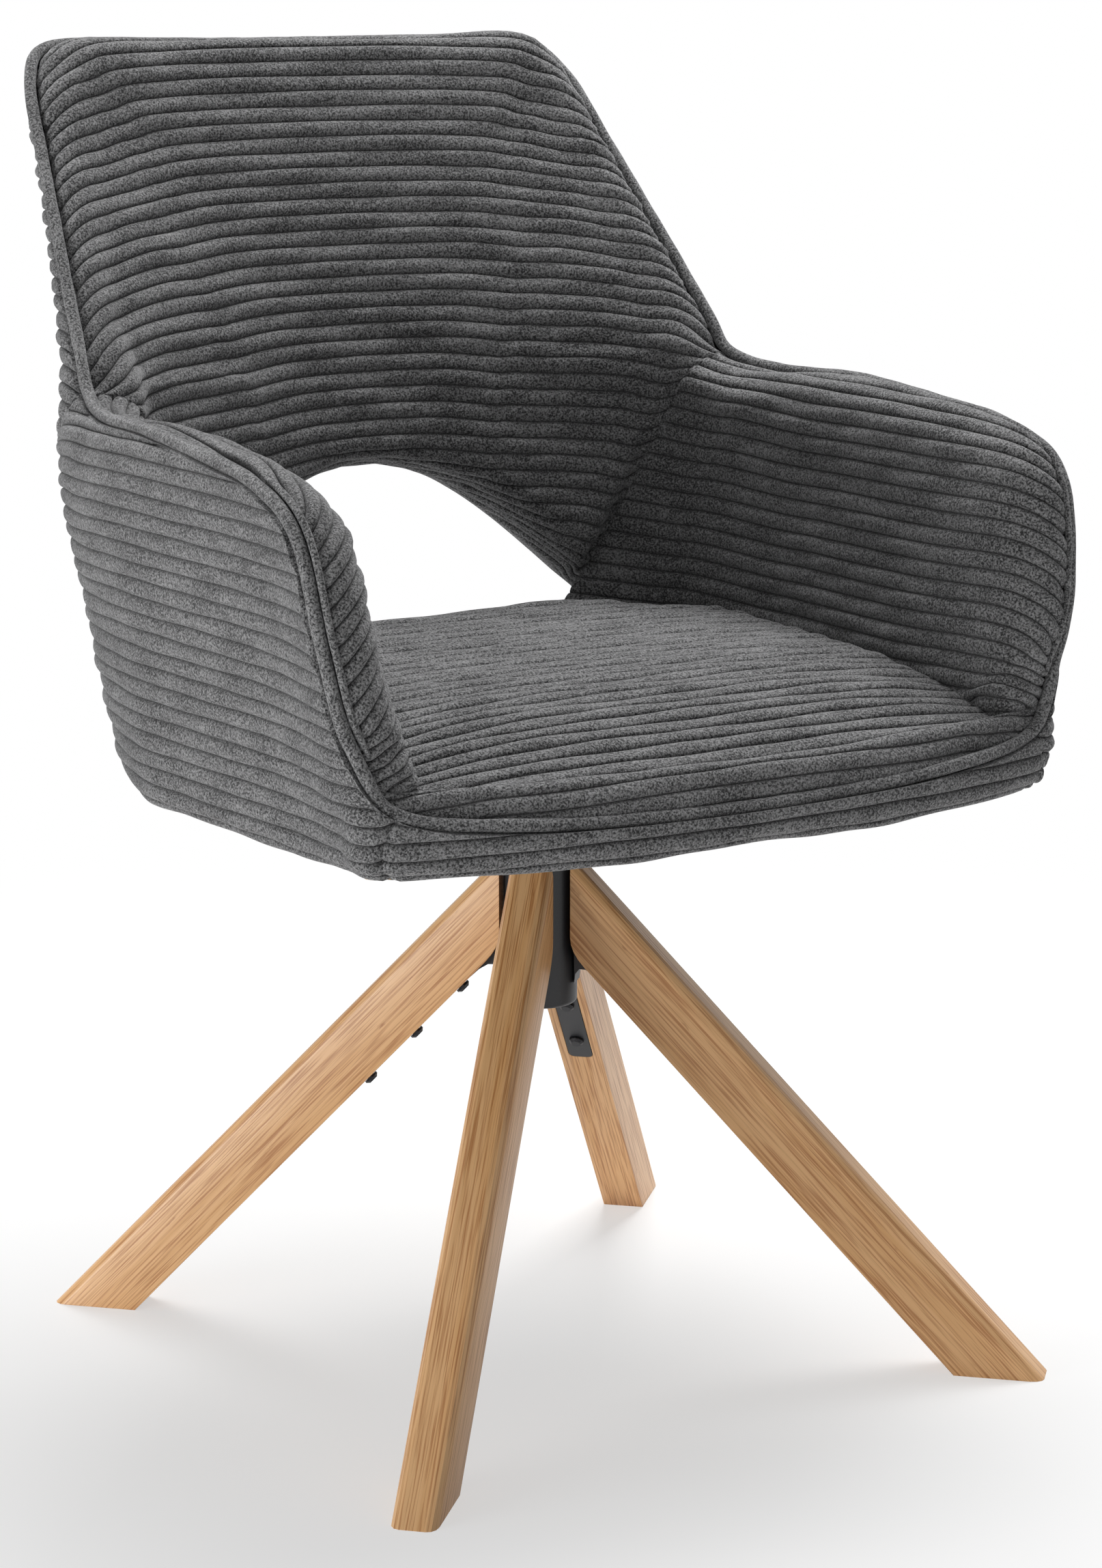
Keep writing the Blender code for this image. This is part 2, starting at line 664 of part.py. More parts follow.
def make_cushion(shop, bucket):
    """The seat cushion: crowned top, drawn-in sides, flat underside."""
    depth = cushion_depth(bucket)
    outline = inner_outline(bucket, CUSHION_SEAM_Z, depth)
    foot = inner_outline(bucket, CUSHION_Z, depth + CUSHION_DRAW)
    centre = np.array([0.0, 0.5 * (outline[:, 1].min() + outline[:, 1].max())])
    rings = 10
    bm = bmesh.new()
    bmesh.ops.create_uvsphere(bm, u_segments=len(outline), v_segments=rings, radius=1)
    rise = CUSHION_CROWN_Z - CUSHION_SEAM_Z
    for vert in bm.verts:
        ring = math.asin(max(-1, min(1, vert.co.z))) / (math.pi / 2)
        spoke = round(math.atan2(-vert.co.y, vert.co.x) / math.tau * len(outline)) % len(outline)
        spread = 1 - abs(ring) ** 2.6
        if ring < 0:
            share = min(1, 2.2 * (1 + ring))
            drop = min(1, -2.4 * ring)
            z = CUSHION_SEAM_Z + (CUSHION_Z - CUSHION_SEAM_Z) * drop
            side = outline[spoke] + (foot[spoke] - outline[spoke]) * drop
        else:
            share = spread
            z = CUSHION_SEAM_Z + rise * (1 - share**3.4)
            side = outline[spoke]
        place = centre + (side - centre) * share
        vert.co = (place[0], place[1], z)
    shop.piece("seat_cushion", mesh_of(bm, "seat_cushion", 50), "corduroy", shop.seat_axis)


def make_seat_board(shop, bucket):
    """The plywood seat board and the dust cover stapled under it."""
    sheet_z = BOARD_Z - TOUCH - DUST_COVER
    outline = inner_outline(bucket, sheet_z, LAYER_PAD + BOARD_FIT)
    board = mesh_of(prism(outline, BOARD_Z, SEAT_BOARD), "seat_board")
    board = shop.piece("seat_board", board, "plywood", shop.seat_axis)
    sheet = mesh_of(prism(outline, sheet_z, DUST_COVER), "dust_cover")
    sheet = shop.piece("dust_cover", sheet, "black_felt", shop.seat_axis)
    side = PLATE_SIDE + 2 * HOLE_CLEARANCE
    bm = bmesh.new()
    bmesh.ops.create_cube(bm, size=1, matrix=Matrix.Diagonal((side, side, 4 * PLATE, 1)))
    window = shop.cutter(
        "plate_window", mesh_of(bm, "plate_window"), shop.seat_axis, Matrix.Translation((0, 0, BOARD_Z))
    )
    cut(sheet, window)
    return board


def bolt_profile(length):
    """Button head below zero, shank above it, from the tip down the outer side."""
    shank, head = BOLT_SHANK / 2, BOLT_HEAD / 2
    return [
        (0, length),
        (shank - 0.0006, length),
        (shank, length - 0.0006),
        (shank, 0),
        (head, 0),
        (head, -0.45 * BOLT_HEAD_HEIGHT),
        (0.62 * head, -BOLT_HEAD_HEIGHT),
        (0, -BOLT_HEAD_HEIGHT),
    ]


def hole_mesh(name, places, length):
    """A cutter of bolt holes along Z through these places."""
    bm = bmesh.new()
    radius = BOLT_SHANK / 2 + HOLE_CLEARANCE / 2
    for place in places:
        bmesh.ops.create_cone(
            bm, cap_ends=True, segments=12, radius1=radius, radius2=radius, depth=length,
            matrix=Matrix.Translation(place),
        )
    return mesh_of(bm, name)


def make_swivel(shop, board):
    """Spindle, plate and plate bolts under the seat; hub, bushes and washer below."""
    seat, base = shop.seat_axis, shop.base_axis
    shaft, flange = SPINDLE_DIAMETER / 2, FLANGE_DIAMETER / 2
    foot = HUB_BOTTOM_Z + 2 * TOUCH
    turned(
        shop, "spindle",
        [
            (0, FLANGE_Z + FLANGE), (flange, FLANGE_Z + FLANGE), (flange, FLANGE_Z), (shaft, FLANGE_Z),
            (shaft, foot + 0.001), (shaft - 0.001, foot), (0, foot),
        ],
        "steel", seat, 32,
    )
    bm = bmesh.new()
    bmesh.ops.create_cube(bm, size=1, matrix=Matrix.Diagonal((PLATE_SIDE, PLATE_SIDE, PLATE, 1)))
    upright = [edge for edge in bm.edges if abs(edge.verts[0].co.z - edge.verts[1].co.z) > PLATE / 2]
    bmesh.ops.bevel(bm, geom=upright, offset=PLATE_CORNER, segments=4, affect="EDGES", profile=0.5)
    plate = shop.piece(
        "swivel_plate", mesh_of(bm, "swivel_plate"), "black_powder_coat", seat,
        Matrix.Translation((0, 0, PLATE_Z + PLATE / 2)),
    )
    half = PLATE_BOLT_PITCH / 2
    places = [(x, y, 0) for x in (-half, half) for y in (-half, half)]
    through = 4 * (PLATE + SEAT_BOARD)
    holes = hole_mesh("plate_bolt_holes", places, through)
    holes = shop.cutter("plate_bolt_holes", holes, seat, Matrix.Translation((0, 0, BOARD_Z)))
    cut(plate, holes)
    cut(board, holes)
    length = PLATE + SEAT_BOARD - 0.001
    for number, (x, y, _) in enumerate(places, 1):
        turned(
            shop, f"plate_bolt_{number}", bolt_profile(length), "black_zinc", seat, 12,
            matrix=Matrix.Translation((x, y, PLATE_Z - TOUCH)),
        )
    outer, lower, bore = HUB_DIAMETER / 2, HUB_FOOT_DIAMETER / 2, HUB_BORE / 2
    turned(
        shop, "hub_tube",
        [
            (outer, HUB_TOP_Z), (outer, HUB_BOTTOM_Z + 1.4 * HUB_FOOT), (lower, HUB_BOTTOM_Z + HUB_FOOT),
            (lower, HUB_BOTTOM_Z + HUB_FOOT_ROUND), (lower - HUB_FOOT_ROUND, HUB_BOTTOM_Z),
            (bore, HUB_BOTTOM_Z), (bore, HUB_TOP_Z),
        ],
        "black_powder_coat", base, 40, closed=True,
    )
    bush_out, bush_in = bore - TOUCH, shaft + TOUCH
    for name, low in (("lower_bush", HUB_BOTTOM_Z + 0.004), ("upper_bush", HUB_TOP_Z - BUSH)):
        ring = [(bush_out, low + BUSH), (bush_out, low), (bush_in, low), (bush_in, low + BUSH)]
        turned(shop, name, ring, "nylon", base, 32, closed=True)
    top = WASHER_Z + WASHER
    ring = [(outer, top), (outer, WASHER_Z), (bush_in, WASHER_Z), (bush_in, top)]
    turned(shop, "thrust_washer", ring, "nylon", base, 32, closed=True)


def under_leg(radius, depth=0.0):
    """(radius, height) on the leg's underside, or this deep inside the leg."""
    height = (LEG_HEEL_RADIUS - radius) * math.tan(LEG_SLOPE)
    return radius + depth * math.sin(LEG_SLOPE), height + depth * math.cos(LEG_SLOPE)


def leg_mesh():
    """A leg in the XZ plane along +X: plumb at the hub, level at the floor."""
    start = HUB_DIAMETER / 2 + TOUCH
    heel_z = under_leg(start)[1]
    top_z = (LEG_TIP_RADIUS - start) * math.tan(LEG_SLOPE)
    outline = [(start, top_z), (LEG_TIP_RADIUS, 0), (LEG_HEEL_RADIUS, 0)]
    reach = LEG_HEEL_ROUND
    for step in range(5):
        t = step / 4
        along_leg = (start + (1 - t) * (1 - t) * reach, heel_z - (1 - t) ** 2 * reach * math.tan(LEG_SLOPE))
        outline.append((along_leg[0], along_leg[1] + t * t * reach))
    bm = upright_prism(outline, LEG_WIDTH)
    top = [
        edge for edge in bm.edges
        if abs(edge.verts[0].co.y - edge.verts[1].co.y) < 1e-6
        and {round(v.co.x, 5) for v in edge.verts} == {round(start, 5), round(LEG_TIP_RADIUS, 5)}
    ]
    bmesh.ops.bevel(bm, geom=top, offset=LEG_TOP_ROUND, segments=3, affect="EDGES", profile=0.5)
    return mesh_of(bm, "leg", 35)


def tongue_outline():
    """The tongue's side view: a strip along the leg's underside, filleted to the hub."""
    start = HUB_FOOT_DIAMETER / 2 + TOUCH
    root = under_leg(start)
    fillet = under_leg(start + TONGUE_FILLET)
    outline = [
        (start, root[1] + TONGUE / math.cos(LEG_SLOPE)),
        under_leg(TONGUE_END_RADIUS, TONGUE),
        under_leg(TONGUE_END_RADIUS),
    ]
    for step in range(6):
        t = step / 5
        outline.append(
            (
                (1 - t) ** 2 * fillet[0] + 2 * t * (1 - t) * root[0] + t * t * start,
                (1 - t) ** 2 * fillet[1] + 2 * t * (1 - t) * root[1] + t * t * (root[1] - TONGUE_FILLET),
            )
        )
    return outline


def tongue_mesh():
    """The tongue as a bar across the leg's width, its far corners rounded."""
    bm = upright_prism(tongue_outline(), TONGUE_WIDTH)
    far = TONGUE_END_RADIUS - 1e-5
    ends = [
        edge for edge in bm.edges
        if all(v.co.x > far for v in edge.verts) and abs(edge.verts[0].co.y - edge.verts[1].co.y) < 1e-6
    ]
    bmesh.ops.bevel(bm, geom=ends, offset=TONGUE_CORNER, segments=3, affect="EDGES", profile=0.5)
    return mesh_of(bm, "leg_tongue")


def slot_mesh():
    """The cutter of the leg's slot: the tongue's plan, reaching out below the leg."""
    width = TONGUE_WIDTH + 2 * SLIDE
    end = (TONGUE_END_RADIUS - LEG_HEEL_RADIUS) / math.cos(LEG_SLOPE) + SLIDE
    start = -LEG_HEEL_RADIUS / math.cos(LEG_SLOPE)
    corner = TONGUE_CORNER + SLIDE
    outline = [(start, -width / 2)]
    for sign in (-1, 1):
        for step in range(4):
            turn = step / 3 * math.pi / 2 if sign < 0 else (1 - step / 3) * math.pi / 2
            side = width / 2 - corner + corner * math.cos(turn)
            outline.append((end - corner + corner * math.sin(turn), sign * side))
    outline.append((start, width / 2))
    depth = TONGUE + SLIDE
    return mesh_of(prism(outline, -3 * depth, 4 * depth), "leg_slot")


def make_legs(shop):
    """Four legs, each with its tongue in a slot and three bolts from below."""
    base = shop.base_axis
    to_leg = Matrix.Translation((LEG_HEEL_RADIUS, 0, 0)) @ Matrix.Rotation(LEG_SLOPE, 4, "Y")
    for name, angle in zip(LEG_NAMES, LEG_ANGLES):
        turn = Matrix.Rotation(angle, 4, "Z")
        leg = shop.piece(f"leg_{name}", leg_mesh(), "oak", base, turn)
        tongue = shop.piece(f"leg_tongue_{name}", tongue_mesh(), "black_powder_coat", base, turn)
        slot = shop.cutter(f"leg_slot_{name}", slot_mesh(), base, turn @ to_leg)
        radii = [BOLT_FIRST_RADIUS + BOLT_STEP * i for i in range(BOLT_COUNT)]
        places = [((r - LEG_HEEL_RADIUS) / math.cos(LEG_SLOPE), 0, 0) for r in radii]
        deep = LEG_BOLT_LENGTH + HOLE_CLEARANCE
        holes = hole_mesh("leg_bolt_holes", places, 2 * deep)
        holes = shop.cutter(f"leg_bolt_holes_{name}", holes, base, turn @ to_leg)
        cut(leg, slot)
        cut(leg, holes)
        cut(tongue, holes)
        for number, place in enumerate(places, 1):
            seat = turn @ to_leg @ Matrix.Translation(place) @ Matrix.Translation((0, 0, -TOUCH))
            profile = bolt_profile(LEG_BOLT_LENGTH)
            turned(shop, f"leg_bolt_{name}_{number}", profile, "black_zinc", base, 12, matrix=seat)


def centre_in_depth(shop):
    """Moves both axis empties along Y until the chair's box is centred on the origin."""
    bpy.context.view_layer.update()
    graph = bpy.context.evaluated_depsgraph_get()
    depths = []
    for item in shop.parts.objects:
        if item.type in ("MESH", "CURVE"):
            shaped = item.evaluated_get(graph)
            mesh = shaped.to_mesh()
            depths += [(shaped.matrix_world @ vert.co).y for vert in mesh.vertices]
            shaped.to_mesh_clear()
    shift = -0.5 * (min(depths) + max(depths))
    for empty in (shop.base_axis, shop.seat_axis):
        empty.location.y = shift
    print(f"column axis at y = {shift:.6f}, depth {max(depths) - min(depths):.4f}")


def main():
    clear_scene()
    shop = Shop()
    bucket = Bucket()
    make_shell(shop, bucket)
    make_covers(shop, bucket)
    make_pads(shop, bucket)
    make_piping(shop, bucket)
    make_cushion(shop, bucket)
    board = make_seat_board(shop, bucket)
    make_swivel(shop, board)
    make_legs(shop)
    centre_in_depth(shop)


if __name__ == "__main__":
    main()
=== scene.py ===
"""Looks of a swivel armchair: wide-wale corduroy over a padded bucket, oak legs, a black hub.

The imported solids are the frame. Each upholstered piece is a numpy surface laid over the
bucket's outer face, with the ribs of the corduroy as real geometry, and each piece rides on
the body of the solid that it stands for. Lengths are metres. Forms are drawn round the
column axis and moved to it when their mesh is made.
"""

import json
import logging
import math
from collections.abc import Callable
from dataclasses import dataclass
from enum import Enum
from functools import cached_property

import bmesh
import bpy
import numpy as np
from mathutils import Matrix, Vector


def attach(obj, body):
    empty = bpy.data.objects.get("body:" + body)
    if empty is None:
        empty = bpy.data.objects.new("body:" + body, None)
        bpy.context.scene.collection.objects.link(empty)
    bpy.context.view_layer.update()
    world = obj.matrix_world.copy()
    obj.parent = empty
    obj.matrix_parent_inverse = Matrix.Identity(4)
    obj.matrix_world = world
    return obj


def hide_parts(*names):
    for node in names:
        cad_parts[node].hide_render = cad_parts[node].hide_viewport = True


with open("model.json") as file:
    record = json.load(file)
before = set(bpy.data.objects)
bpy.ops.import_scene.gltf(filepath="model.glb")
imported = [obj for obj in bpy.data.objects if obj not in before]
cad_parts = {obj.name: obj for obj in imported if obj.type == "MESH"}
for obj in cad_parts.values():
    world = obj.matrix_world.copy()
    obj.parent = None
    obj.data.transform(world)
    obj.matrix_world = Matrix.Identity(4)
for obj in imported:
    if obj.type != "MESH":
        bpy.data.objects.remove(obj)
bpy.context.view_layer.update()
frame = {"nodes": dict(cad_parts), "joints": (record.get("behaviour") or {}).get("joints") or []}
AXIS_Y = float(frame["joints"][0]["pos_m"][1])
AXIS = np.array([0.0, AXIS_Y, 0.0])
UP = np.array([0.0, 0.0, 1.0])

Array = np.ndarray
Edge = Callable[[Array], Array]
Face = Callable[[Array, Array], Array]
Pair = tuple[float, float]
Triple = tuple[float, float, float]
Socket = bpy.types.NodeSocket
Material = bpy.types.Material
log = logging.getLogger("armchair")


class Body(Enum):
    """The two bodies of the chair."""

    BASE = "base"
    SEAT = "seat"


class Side(Enum):
    """A side of the chair, as the sign of its X."""

    RIGHT = 1
    LEFT = -1


class Shows(Enum):
    """Which way a panel's good side faces: into the bucket or out of it."""

    INWARD = 1
    OUTWARD = -1


class Stretch(Enum):
    """How much of the bucket's height an outer cover takes."""

    WHOLE = "hem to piping"
    ABOVE = "arch to piping"
    BELOW = "hem to arch"


def unit(vectors: Array) -> Array:
    """Vectors scaled to length one along the last axis."""
    return vectors / np.maximum(np.linalg.norm(vectors, axis=-1, keepdims=True), 1e-12)


def edge_round(distance: Array, width: float) -> Array:
    """Rises from 0 at an edge to 1 at this width as a quarter round."""
    return np.sqrt(1 - (1 - np.clip(distance / width, 0, 1)) ** 2)


def smooth(values: Array) -> Array:
    """Rises from 0 to 1 without a kink between the values 0 and 1."""
    share = np.clip(values, 0, 1)
    return share * share * (3 - 2 * share)


def between(values: Array, start: float, length: float) -> Array:
    """Rises from 0 to 1 without a kink over a length from a start."""
    return smooth((values - start) / length)


def along(loop: Array, stations: Array) -> Array:
    """Points of the closed Catmull-Rom curve through a loop of points.

    Args:
        loop: points of the loop, one per whole station.
        stations: stations to read, in any shape.

    Returns:
        One point per station.
    """
    index = np.floor(stations).astype(int)
    t = (stations - index)[..., None]
    p0, p1, p2, p3 = (loop[(index + step) % len(loop)] for step in (-1, 0, 1, 2))
    return 0.5 * (
        2 * p1
        + (p2 - p0) * t
        + (2 * p0 - 5 * p1 + 4 * p2 - p3) * t**2
        + (3 * p1 - p0 - 3 * p2 + p3) * t**3
    )


def walked(points: Array) -> Array:
    """Length from the start of a polyline to each of its corners."""
    return np.concatenate([[0.0], np.cumsum(np.linalg.norm(np.diff(points, axis=0), axis=1))])


def read_curve(places: Array, known: Array, points: Array) -> Array:
    """Points of a polyline at places along it, straight between its known corners."""
    return np.stack([np.interp(places, known, points[:, axis]) for axis in range(3)], axis=-1)


def mirrored(half: Array) -> Array:
    """The half loop followed by its mirror image, back to the start."""
    return np.concatenate([half, half[-2:0:-1] * np.array([-1.0, 1.0, 1.0])])


def nearest(curve: Array, points: Array) -> tuple[Array, Array]:
    """Distance from points to a polyline, and the place on it that is nearest.

    Args:
        curve: corners of the polyline.
        points: points in any grid shape.

    Returns:
        One distance per point, and each nearest place as a count of corners.
    """
    flat = points.reshape(-1, 3)
    blocks = np.array_split(flat, max(1, len(flat) // 4000))
    squares = [((block[:, None, :] - curve[None]) ** 2).sum(axis=-1) for block in blocks]
    corner = np.concatenate([np.argmin(square, axis=1) for square in squares])
    found, place = np.full(len(flat), np.inf), np.zeros(len(flat))
    for step in (-1, 0):
        first = np.clip(corner + step, 0, len(curve) - 2)
        start, edge = curve[first], curve[first + 1] - curve[first]
        share = ((flat - start) * edge).sum(axis=1) / np.maximum((edge**2).sum(axis=1), 1e-16)
        share = np.clip(share, 0, 1)
        reach = np.linalg.norm(flat - start - edge * share[:, None], axis=1)
        place = np.where(reach < found, first + share, place)
        found = np.minimum(found, reach)
    return found.reshape(points.shape[:-1]), place.reshape(points.shape[:-1])


@dataclass(frozen=True)
class Plan:
    """A rounded plan of the bucket at one height: flat rear, sides and a bowed front."""

    half: float
    rear: float
    front: float
    rear_radius: float
    front_radius: float = 0.034
    bow: float = 0.020

    def points(self, stations: Array) -> Array:
        """Points of the right-hand half of the plan.

        From 0 to 1 runs the straight rear, to 2 the rear corner's arc, to 3 the side, to 4
        the front corner's arc and to 5 the front, a parabola bowed forward in the middle.

        Args:
            stations: places along the half plan, 0 to 5.

        Returns:
            X, Y and a zero Z for each station.
        """
        leg = np.minimum(np.floor(stations), 4)
        share = stations - leg
        turn = share * math.pi / 2
        start = self.rear - self.rear_radius
        end = self.front + self.bow + self.front_radius
        inner = self.half - self.rear_radius
        front = self.half - self.front_radius
        legs = [leg == 0, leg == 1, leg == 2, leg == 3]
        flat = np.zeros_like(share)
        x = [
            share * inner,
            inner + self.rear_radius * np.sin(turn),
            flat + self.half,
            front + self.front_radius * np.cos(turn),
        ]
        y = [
            flat + self.rear,
            start + self.rear_radius * np.cos(turn),
            start + share * (end - start),
            end - self.front_radius * np.sin(turn),
        ]
        bowed = self.front + self.bow * (1 - share) ** 2
        plan = [np.select(legs, x, (1 - share) * front), np.select(legs, y, bowed), flat]
        return np.stack(plan, axis=-1)


@dataclass(frozen=True)
class BucketForm:
    """The bucket's outer face as a surface of station and height share.

    Stations run round the rim from the back's middle (0) over the notch (7) and the arm's
    front (14) to the front's middle (17); negative stations are the left half.
    """

    underside: float = 0.390
    top_z: float = 0.866
    top_y: float = 0.364
    top_half: float = 0.210
    top_bow: float = 0.030
    top_corner: float = 0.020
    edge_shares: tuple[float, ...] = (0.10, 0.36, 0.64, 0.87)
    notch_half: float = 0.260
    notch_y: float = 0.150
    notch_z: float = 0.650
    flare: float = 0.85
    arm_half: float = 0.289
    arm_rear_z: float = 0.640
    arm_front_z: float = 0.632
    arm_front_y: float = -0.211
    shoulder: float = 0.075
    apron_z: float = 0.418
    apron_rise: float = 0.018
    apron_y: float = -0.252
    bow: float = 0.020
    arch_top: float = 0.578
    arch_sill: float = 0.455
    arch_half: float = 0.184
    arch_end: float = 0.010
    base_plan: Plan = Plan(0.258, 0.222, -0.247, 0.158)
    base_stations: tuple[float, ...] = (
        *(0, 0.22, 0.42, 0.56, 0.68, 0.80, 0.92, 1.05, 1.50),
        *(1.95, 2.22, 2.45, 2.63, 2.79, 2.93, 3.5, 4.45, 5),
    )
    mid_plan: Plan = Plan(0.271, 0.262, -0.252, 0.184)
    mid_stations: tuple[float, ...] = (
        *(0, 0.40, 0.70, 0.88, 1.02, 1.13, 1.26, 1.42, 1.70),
        *(2.03, 2.29, 2.50, 2.67, 2.82, 2.95, 3.5, 4.45, 5),
    )
    mid_share: float = 0.44
    walk_share: float = 0.62
    taper: float = 0.046
    taper_from: float = 0.020
    taper_length: float = 0.230
    rim_drop: float = 0.0041
    notch: int = 7
    corner: int = 15
    front: int = 17

    def tapered(self, half: Array) -> Array:
        """The half plan drawn in toward its front corners."""
        share = smooth((self.taper_from - half[:, 1]) / self.taper_length)
        same = np.ones_like(share)
        return half * np.stack([1 - self.taper * share, same, same], axis=-1)

    @cached_property
    def base(self) -> Array:
        """Loop of the underside."""
        half = self.base_plan.points(np.array(self.base_stations))
        return mirrored(self.tapered(half) + self.underside * UP)

    @cached_property
    def mid(self) -> Array:
        """Loop of the plan at mid height."""
        return mirrored(self.tapered(self.mid_plan.points(np.array(self.mid_stations))))

    @cached_property
    def rim(self) -> Array:
        """Loop of the rim: the back's top, its side edges, the notch, the arm and the front."""
        side, notch = self.arm_half, self.notch_half
        shoulder_y = self.arm_front_y + self.shoulder
        drop = self.arm_front_z - self.apron_z
        share = np.array(self.edge_shares)
        corner_y = self.top_y - self.top_bow
        edge = np.stack(
            [
                self.top_half + (notch - self.top_half) * share**self.flare,
                corner_y + (self.notch_y - corner_y) * share,
                self.top_z + (self.notch_z - self.top_z) * share,
            ],
            axis=-1,
        )
        top = [
            (0, self.top_y, self.top_z),
            (0.55 * self.top_half, self.top_y - 0.26 * self.top_bow, self.top_z),
            (self.top_half - self.top_corner, self.top_y - 0.76 * self.top_bow, self.top_z),
        ]
        arm = [
            (notch, self.notch_y, self.notch_z),
            (notch + 0.42 * (side - notch), self.notch_y - 0.050, self.arm_rear_z),
            (notch + 0.76 * (side - notch), self.notch_y - 0.130, self.arm_rear_z),
            (side - 0.004, shoulder_y + 0.065, self.arm_front_z),
            (side - 0.001, shoulder_y, self.arm_front_z - 0.04 * drop),
            (side + 0.001, self.arm_front_y + 0.024, self.arm_front_z - 0.15 * drop),
            (side - 0.0045, self.arm_front_y + 0.005, self.arm_front_z - 0.45 * drop),
            (side - 0.0190, self.arm_front_y - 0.001, self.arm_front_z - 0.72 * drop),
            (side - 0.049, self.apron_y + 1.175 * self.bow, self.apron_z + self.apron_rise),
            (0.55 * side, self.apron_y + 0.36 * self.bow, self.apron_z + 0.0025),
            (0, self.apron_y, self.apron_z),
        ]
        return mirrored(np.concatenate([np.array(top, float), edge, np.array(arm, float)]))

    def point(self, stations: Array, shares: Array) -> Array:
        """Outer-face points: at each station a parabola through underside, mid height and rim.

        Args:
            stations: stations round the rim.
            shares: height shares, 0 at the underside and 1 at the rim, in the same shape.

        Returns:
            One point per station and share.
        """
        base, mid, rim = (along(loop, stations) for loop in (self.base, self.mid, self.rim))
        v, m = shares[..., None], self.mid_share
        low = (v - m) * (v - 1) / m
        middle = v * (v - 1) / (m * (m - 1))
        high = v * (v - m) / (1 - m)
        made = low * base + middle * mid + high * rim
        made[..., 2:] = base[..., 2:] + (rim - base)[..., 2:] * v
        return made

    def inward(self, stations: Array, shares: Array) -> Array:
        """Unit normals of the outer face that point into the bucket."""
        step = 1e-3
        across = self.point(stations + step, shares) - self.point(stations - step, shares)
        up = self.point(stations, shares + step) - self.point(stations, shares - step)
        return unit(np.cross(across, up))

    def sunk(self, stations: Array, shares: Array, depth: Array | float) -> Array:
        """Points at a depth inside the outer face."""
        deep = np.asarray(depth)[..., None]
        return self.point(stations, shares) + self.inward(stations, shares) * deep

    def inset(self, stations: Array, shares: Array, depth: Array | float) -> Array:
        """Points moved level until they are at a depth inside the outer face."""
        inward = self.inward(stations, shares)[:, :2]
        level = inward / (inward**2).sum(axis=1, keepdims=True)
        points = self.point(stations, shares)
        points[:, :2] += level * np.asarray(depth)[..., None]
        return points

    def run(self, stations: Array, shares: Array) -> Array:
        """Level unit directions along the outer face."""
        return unit(np.cross(self.inward(stations, shares), UP))

    def from_back(self, stations: Array) -> Array:
        """How many stations away the back's middle is, the shorter way round."""
        return np.abs((stations + self.front) % (2 * self.front) - self.front)

    def height(self, stations: Array) -> Array:
        """Straight length of the face from underside to rim."""
        return np.linalg.norm(along(self.rim, stations) - along(self.base, stations), axis=-1)

    def top(self, stations: Array) -> Array:
        """Height share of the covers' upper edge, just under the piping."""
        return 1 - self.rim_drop / self.height(stations)

    def share_at(self, stations: Array, z: Array | float) -> Array:
        """Height share at which the face reaches this height."""
        return (z - self.underside) / (along(self.rim, stations)[..., 2] - self.underside)

    def arch(self, stations: Array) -> Array:
        """Height share of the arch's edge: a parabola from its top down to its ends."""
        z = np.full(stations.shape, self.arch_top)
        for _ in range(12):
            x = np.abs(self.point(stations, self.share_at(stations, z))[..., 0])
            fall = np.minimum(x / self.arch_half, 1) ** 2
            z = self.arch_top - (self.arch_top - self.arch_sill - self.arch_end) * fall
        return self.share_at(stations, z)

    def columns(self, first: float, last: float, step: float) -> Array:
        """Stations from first to last at even steps along the face.

        Args:
            first: first station.
            last: last station.
            step: length of a step at mid height.

        Returns:
            The stations.
        """
        fine = np.linspace(first, last, 800)
        length = walked(self.point(fine, np.full(fine.shape, self.walk_share)))
        return np.interp(np.linspace(0, length[-1], int(length[-1] / step) + 2), length, fine)

    def edge_frame(self, stations: Array) -> tuple[Array, Array, Array]:
        """The covers' upper edge with its directions.

        Args:
            stations: a run of stations.

        Returns:
            Points of the edge, directions into the bucket, and directions in the outer face
            that are square to the edge and point away from the panels.
        """
        tops = self.top(stations)
        points, inward = self.point(stations, tops), self.inward(stations, tops)
        up = points - self.point(stations, tops - 1e-3)
        square = unit(np.cross(inward, unit(np.gradient(points, axis=0))))
        return points, inward, square * np.sign((square * up).sum(axis=-1, keepdims=True))


